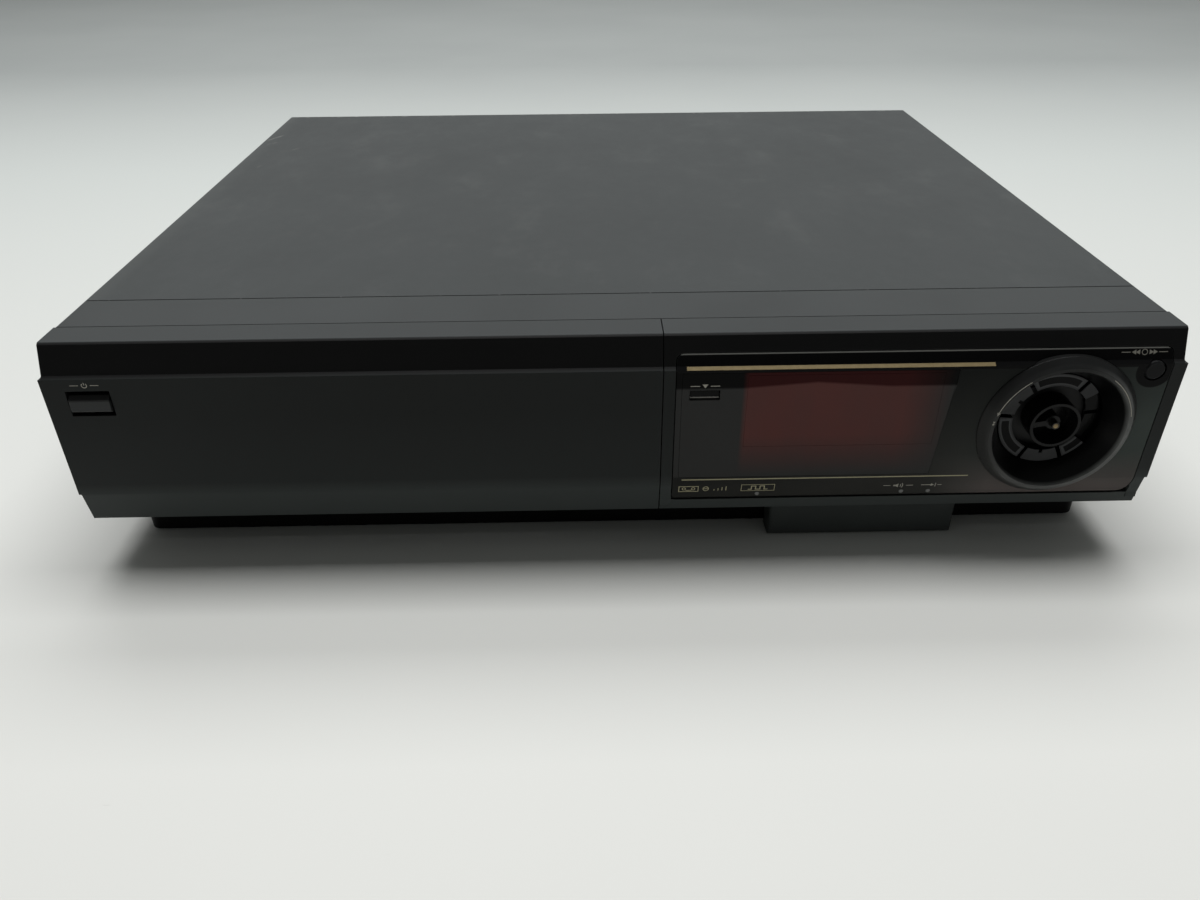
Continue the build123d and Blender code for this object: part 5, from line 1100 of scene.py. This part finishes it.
def serial_pins():
    """Black insert with two rows of gilt pins in the serial connector's shell."""
    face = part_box("rear_panel")[1].y
    low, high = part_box("serial_connector")
    middle_x, middle_z = (low.x + high.x) / 2, (low.z + high.z) / 2
    rows = [(-4.5 + k, PIN_ROW) for k in range(10)] + [(-4 + k, -PIN_ROW) for k in range(9)]
    insert = [(middle_x + x, middle_z + z) for x, z in INSERT_OUTLINE]
    pins = [[(middle_x + column * PIN_PITCH + u * PIN_HALF, middle_z + z + v * PIN_HALF)
             for u, v in ((-1, -1), (1, -1), (1, 1), (-1, 1))] for column, z in rows]
    drawn_out("serial_insert", [insert], face + INSERT_FLOOR, face + INSERT_TOP,
              moulded("insert_black", CHIP_DARK, 0.45), "chassis")
    drawn_out("serial_pins", pins, face + INSERT_TOP, face + PIN_TOP,
              metal("gilt", (0.70, 0.52, 0.22), 0.3, (1, 1, 1), 0.02), "chassis")


# ---- studio
def make_camera():
    """Camera solved from the corners of the case."""
    forward = Vector((sin(CAMERA_YAW) * cos(CAMERA_PITCH), cos(CAMERA_YAW) * cos(CAMERA_PITCH),
                      -sin(CAMERA_PITCH)))
    level = Vector((cos(CAMERA_YAW), -sin(CAMERA_YAW), 0))
    upright = level.cross(forward)
    right = cos(CAMERA_ROLL) * level + sin(CAMERA_ROLL) * upright
    up = cos(CAMERA_ROLL) * upright - sin(CAMERA_ROLL) * level
    data = bpy.data.cameras.new("camera")
    data.sensor_width = SENSOR
    data.lens = FOCAL_PIXELS / IMAGE_WIDTH * SENSOR
    data.clip_start = 0.01
    camera = bpy.data.objects.new("camera", data)
    show(camera)
    turn = Matrix((right, up, -forward)).transposed().to_4x4()
    camera.matrix_world = Matrix.Translation((CAMERA_X, FRONT_Y - CAMERA_AHEAD, TOP_Z + CAMERA_ABOVE)) @ turn
    bpy.context.scene.camera = camera


def lamp_panel(name, back, target_back, width, depth, power):
    """A soft rectangular lamp above the object, aimed at a spot on the floor."""
    data = bpy.data.lights.new(name, "AREA")
    data.shape = "RECTANGLE"
    data.size, data.size_y = width, depth
    data.energy = power
    lamp = bpy.data.objects.new(name, data)
    lamp.location = (0, FRONT_Y + back, LAMP_HEIGHT)
    aim = Vector((0, FRONT_Y + back, LAMP_HEIGHT)) - Vector((0, FRONT_Y + target_back, 0))
    lamp.rotation_euler = aim.to_track_quat("Z", "Y").to_euler()
    show(lamp)


def make_world():
    """Backdrop for the camera; reflections see a room dim ahead of the object; a weak fill lights it."""
    world = bpy.data.worlds.new("studio")
    world.use_nodes = True
    sky = Tree(world.node_tree)
    split = sky.add("SeparateXYZ")
    sky.feed(split.inputs["Vector"], sky.add("TexCoord").outputs["Generated"])
    depth = sky.ramp(split.outputs["Y"], *ROOM_TURN)
    ray = sky.add("LightPath").outputs
    mirrored = sky.math("MAXIMUM", ray["Is Glossy Ray"], ray["Is Transmission Ray"])
    lighting = sky.mix(mirrored, FILL, sky.mix(depth, ROOM_AHEAD, ROOM_BEHIND))
    sky.feed(sky.tree.nodes["Background"].inputs["Color"], sky.mix(ray["Is Camera Ray"], lighting, BACKDROP))
    bpy.context.scene.world = world


def make_studio():
    """Pale floor and two soft panels: one over the front half of the case and one behind it."""
    corners = [(x * FLOOR_HALF, y * FLOOR_HALF, 0) for x, y in ((-1, -1), (1, -1), (1, 1), (-1, 1))]
    floor = bpy.data.objects.new("floor", faces_mesh("floor", corners, [(0, 1, 2, 3)]))
    show(floor)
    floor.data.materials.append(floor_paint())
    lamp_panel("overhead", *OVERHEAD)
    lamp_panel("rear_overhead", *REAR_OVERHEAD)
    make_world()
    bpy.context.scene.view_settings.view_transform = "Standard"


make_camera()
finish_nodes()
front_prints()
dial_prints()
key_prints()
lamps()
screws()
phono_rings()
serial_pins()
make_studio()
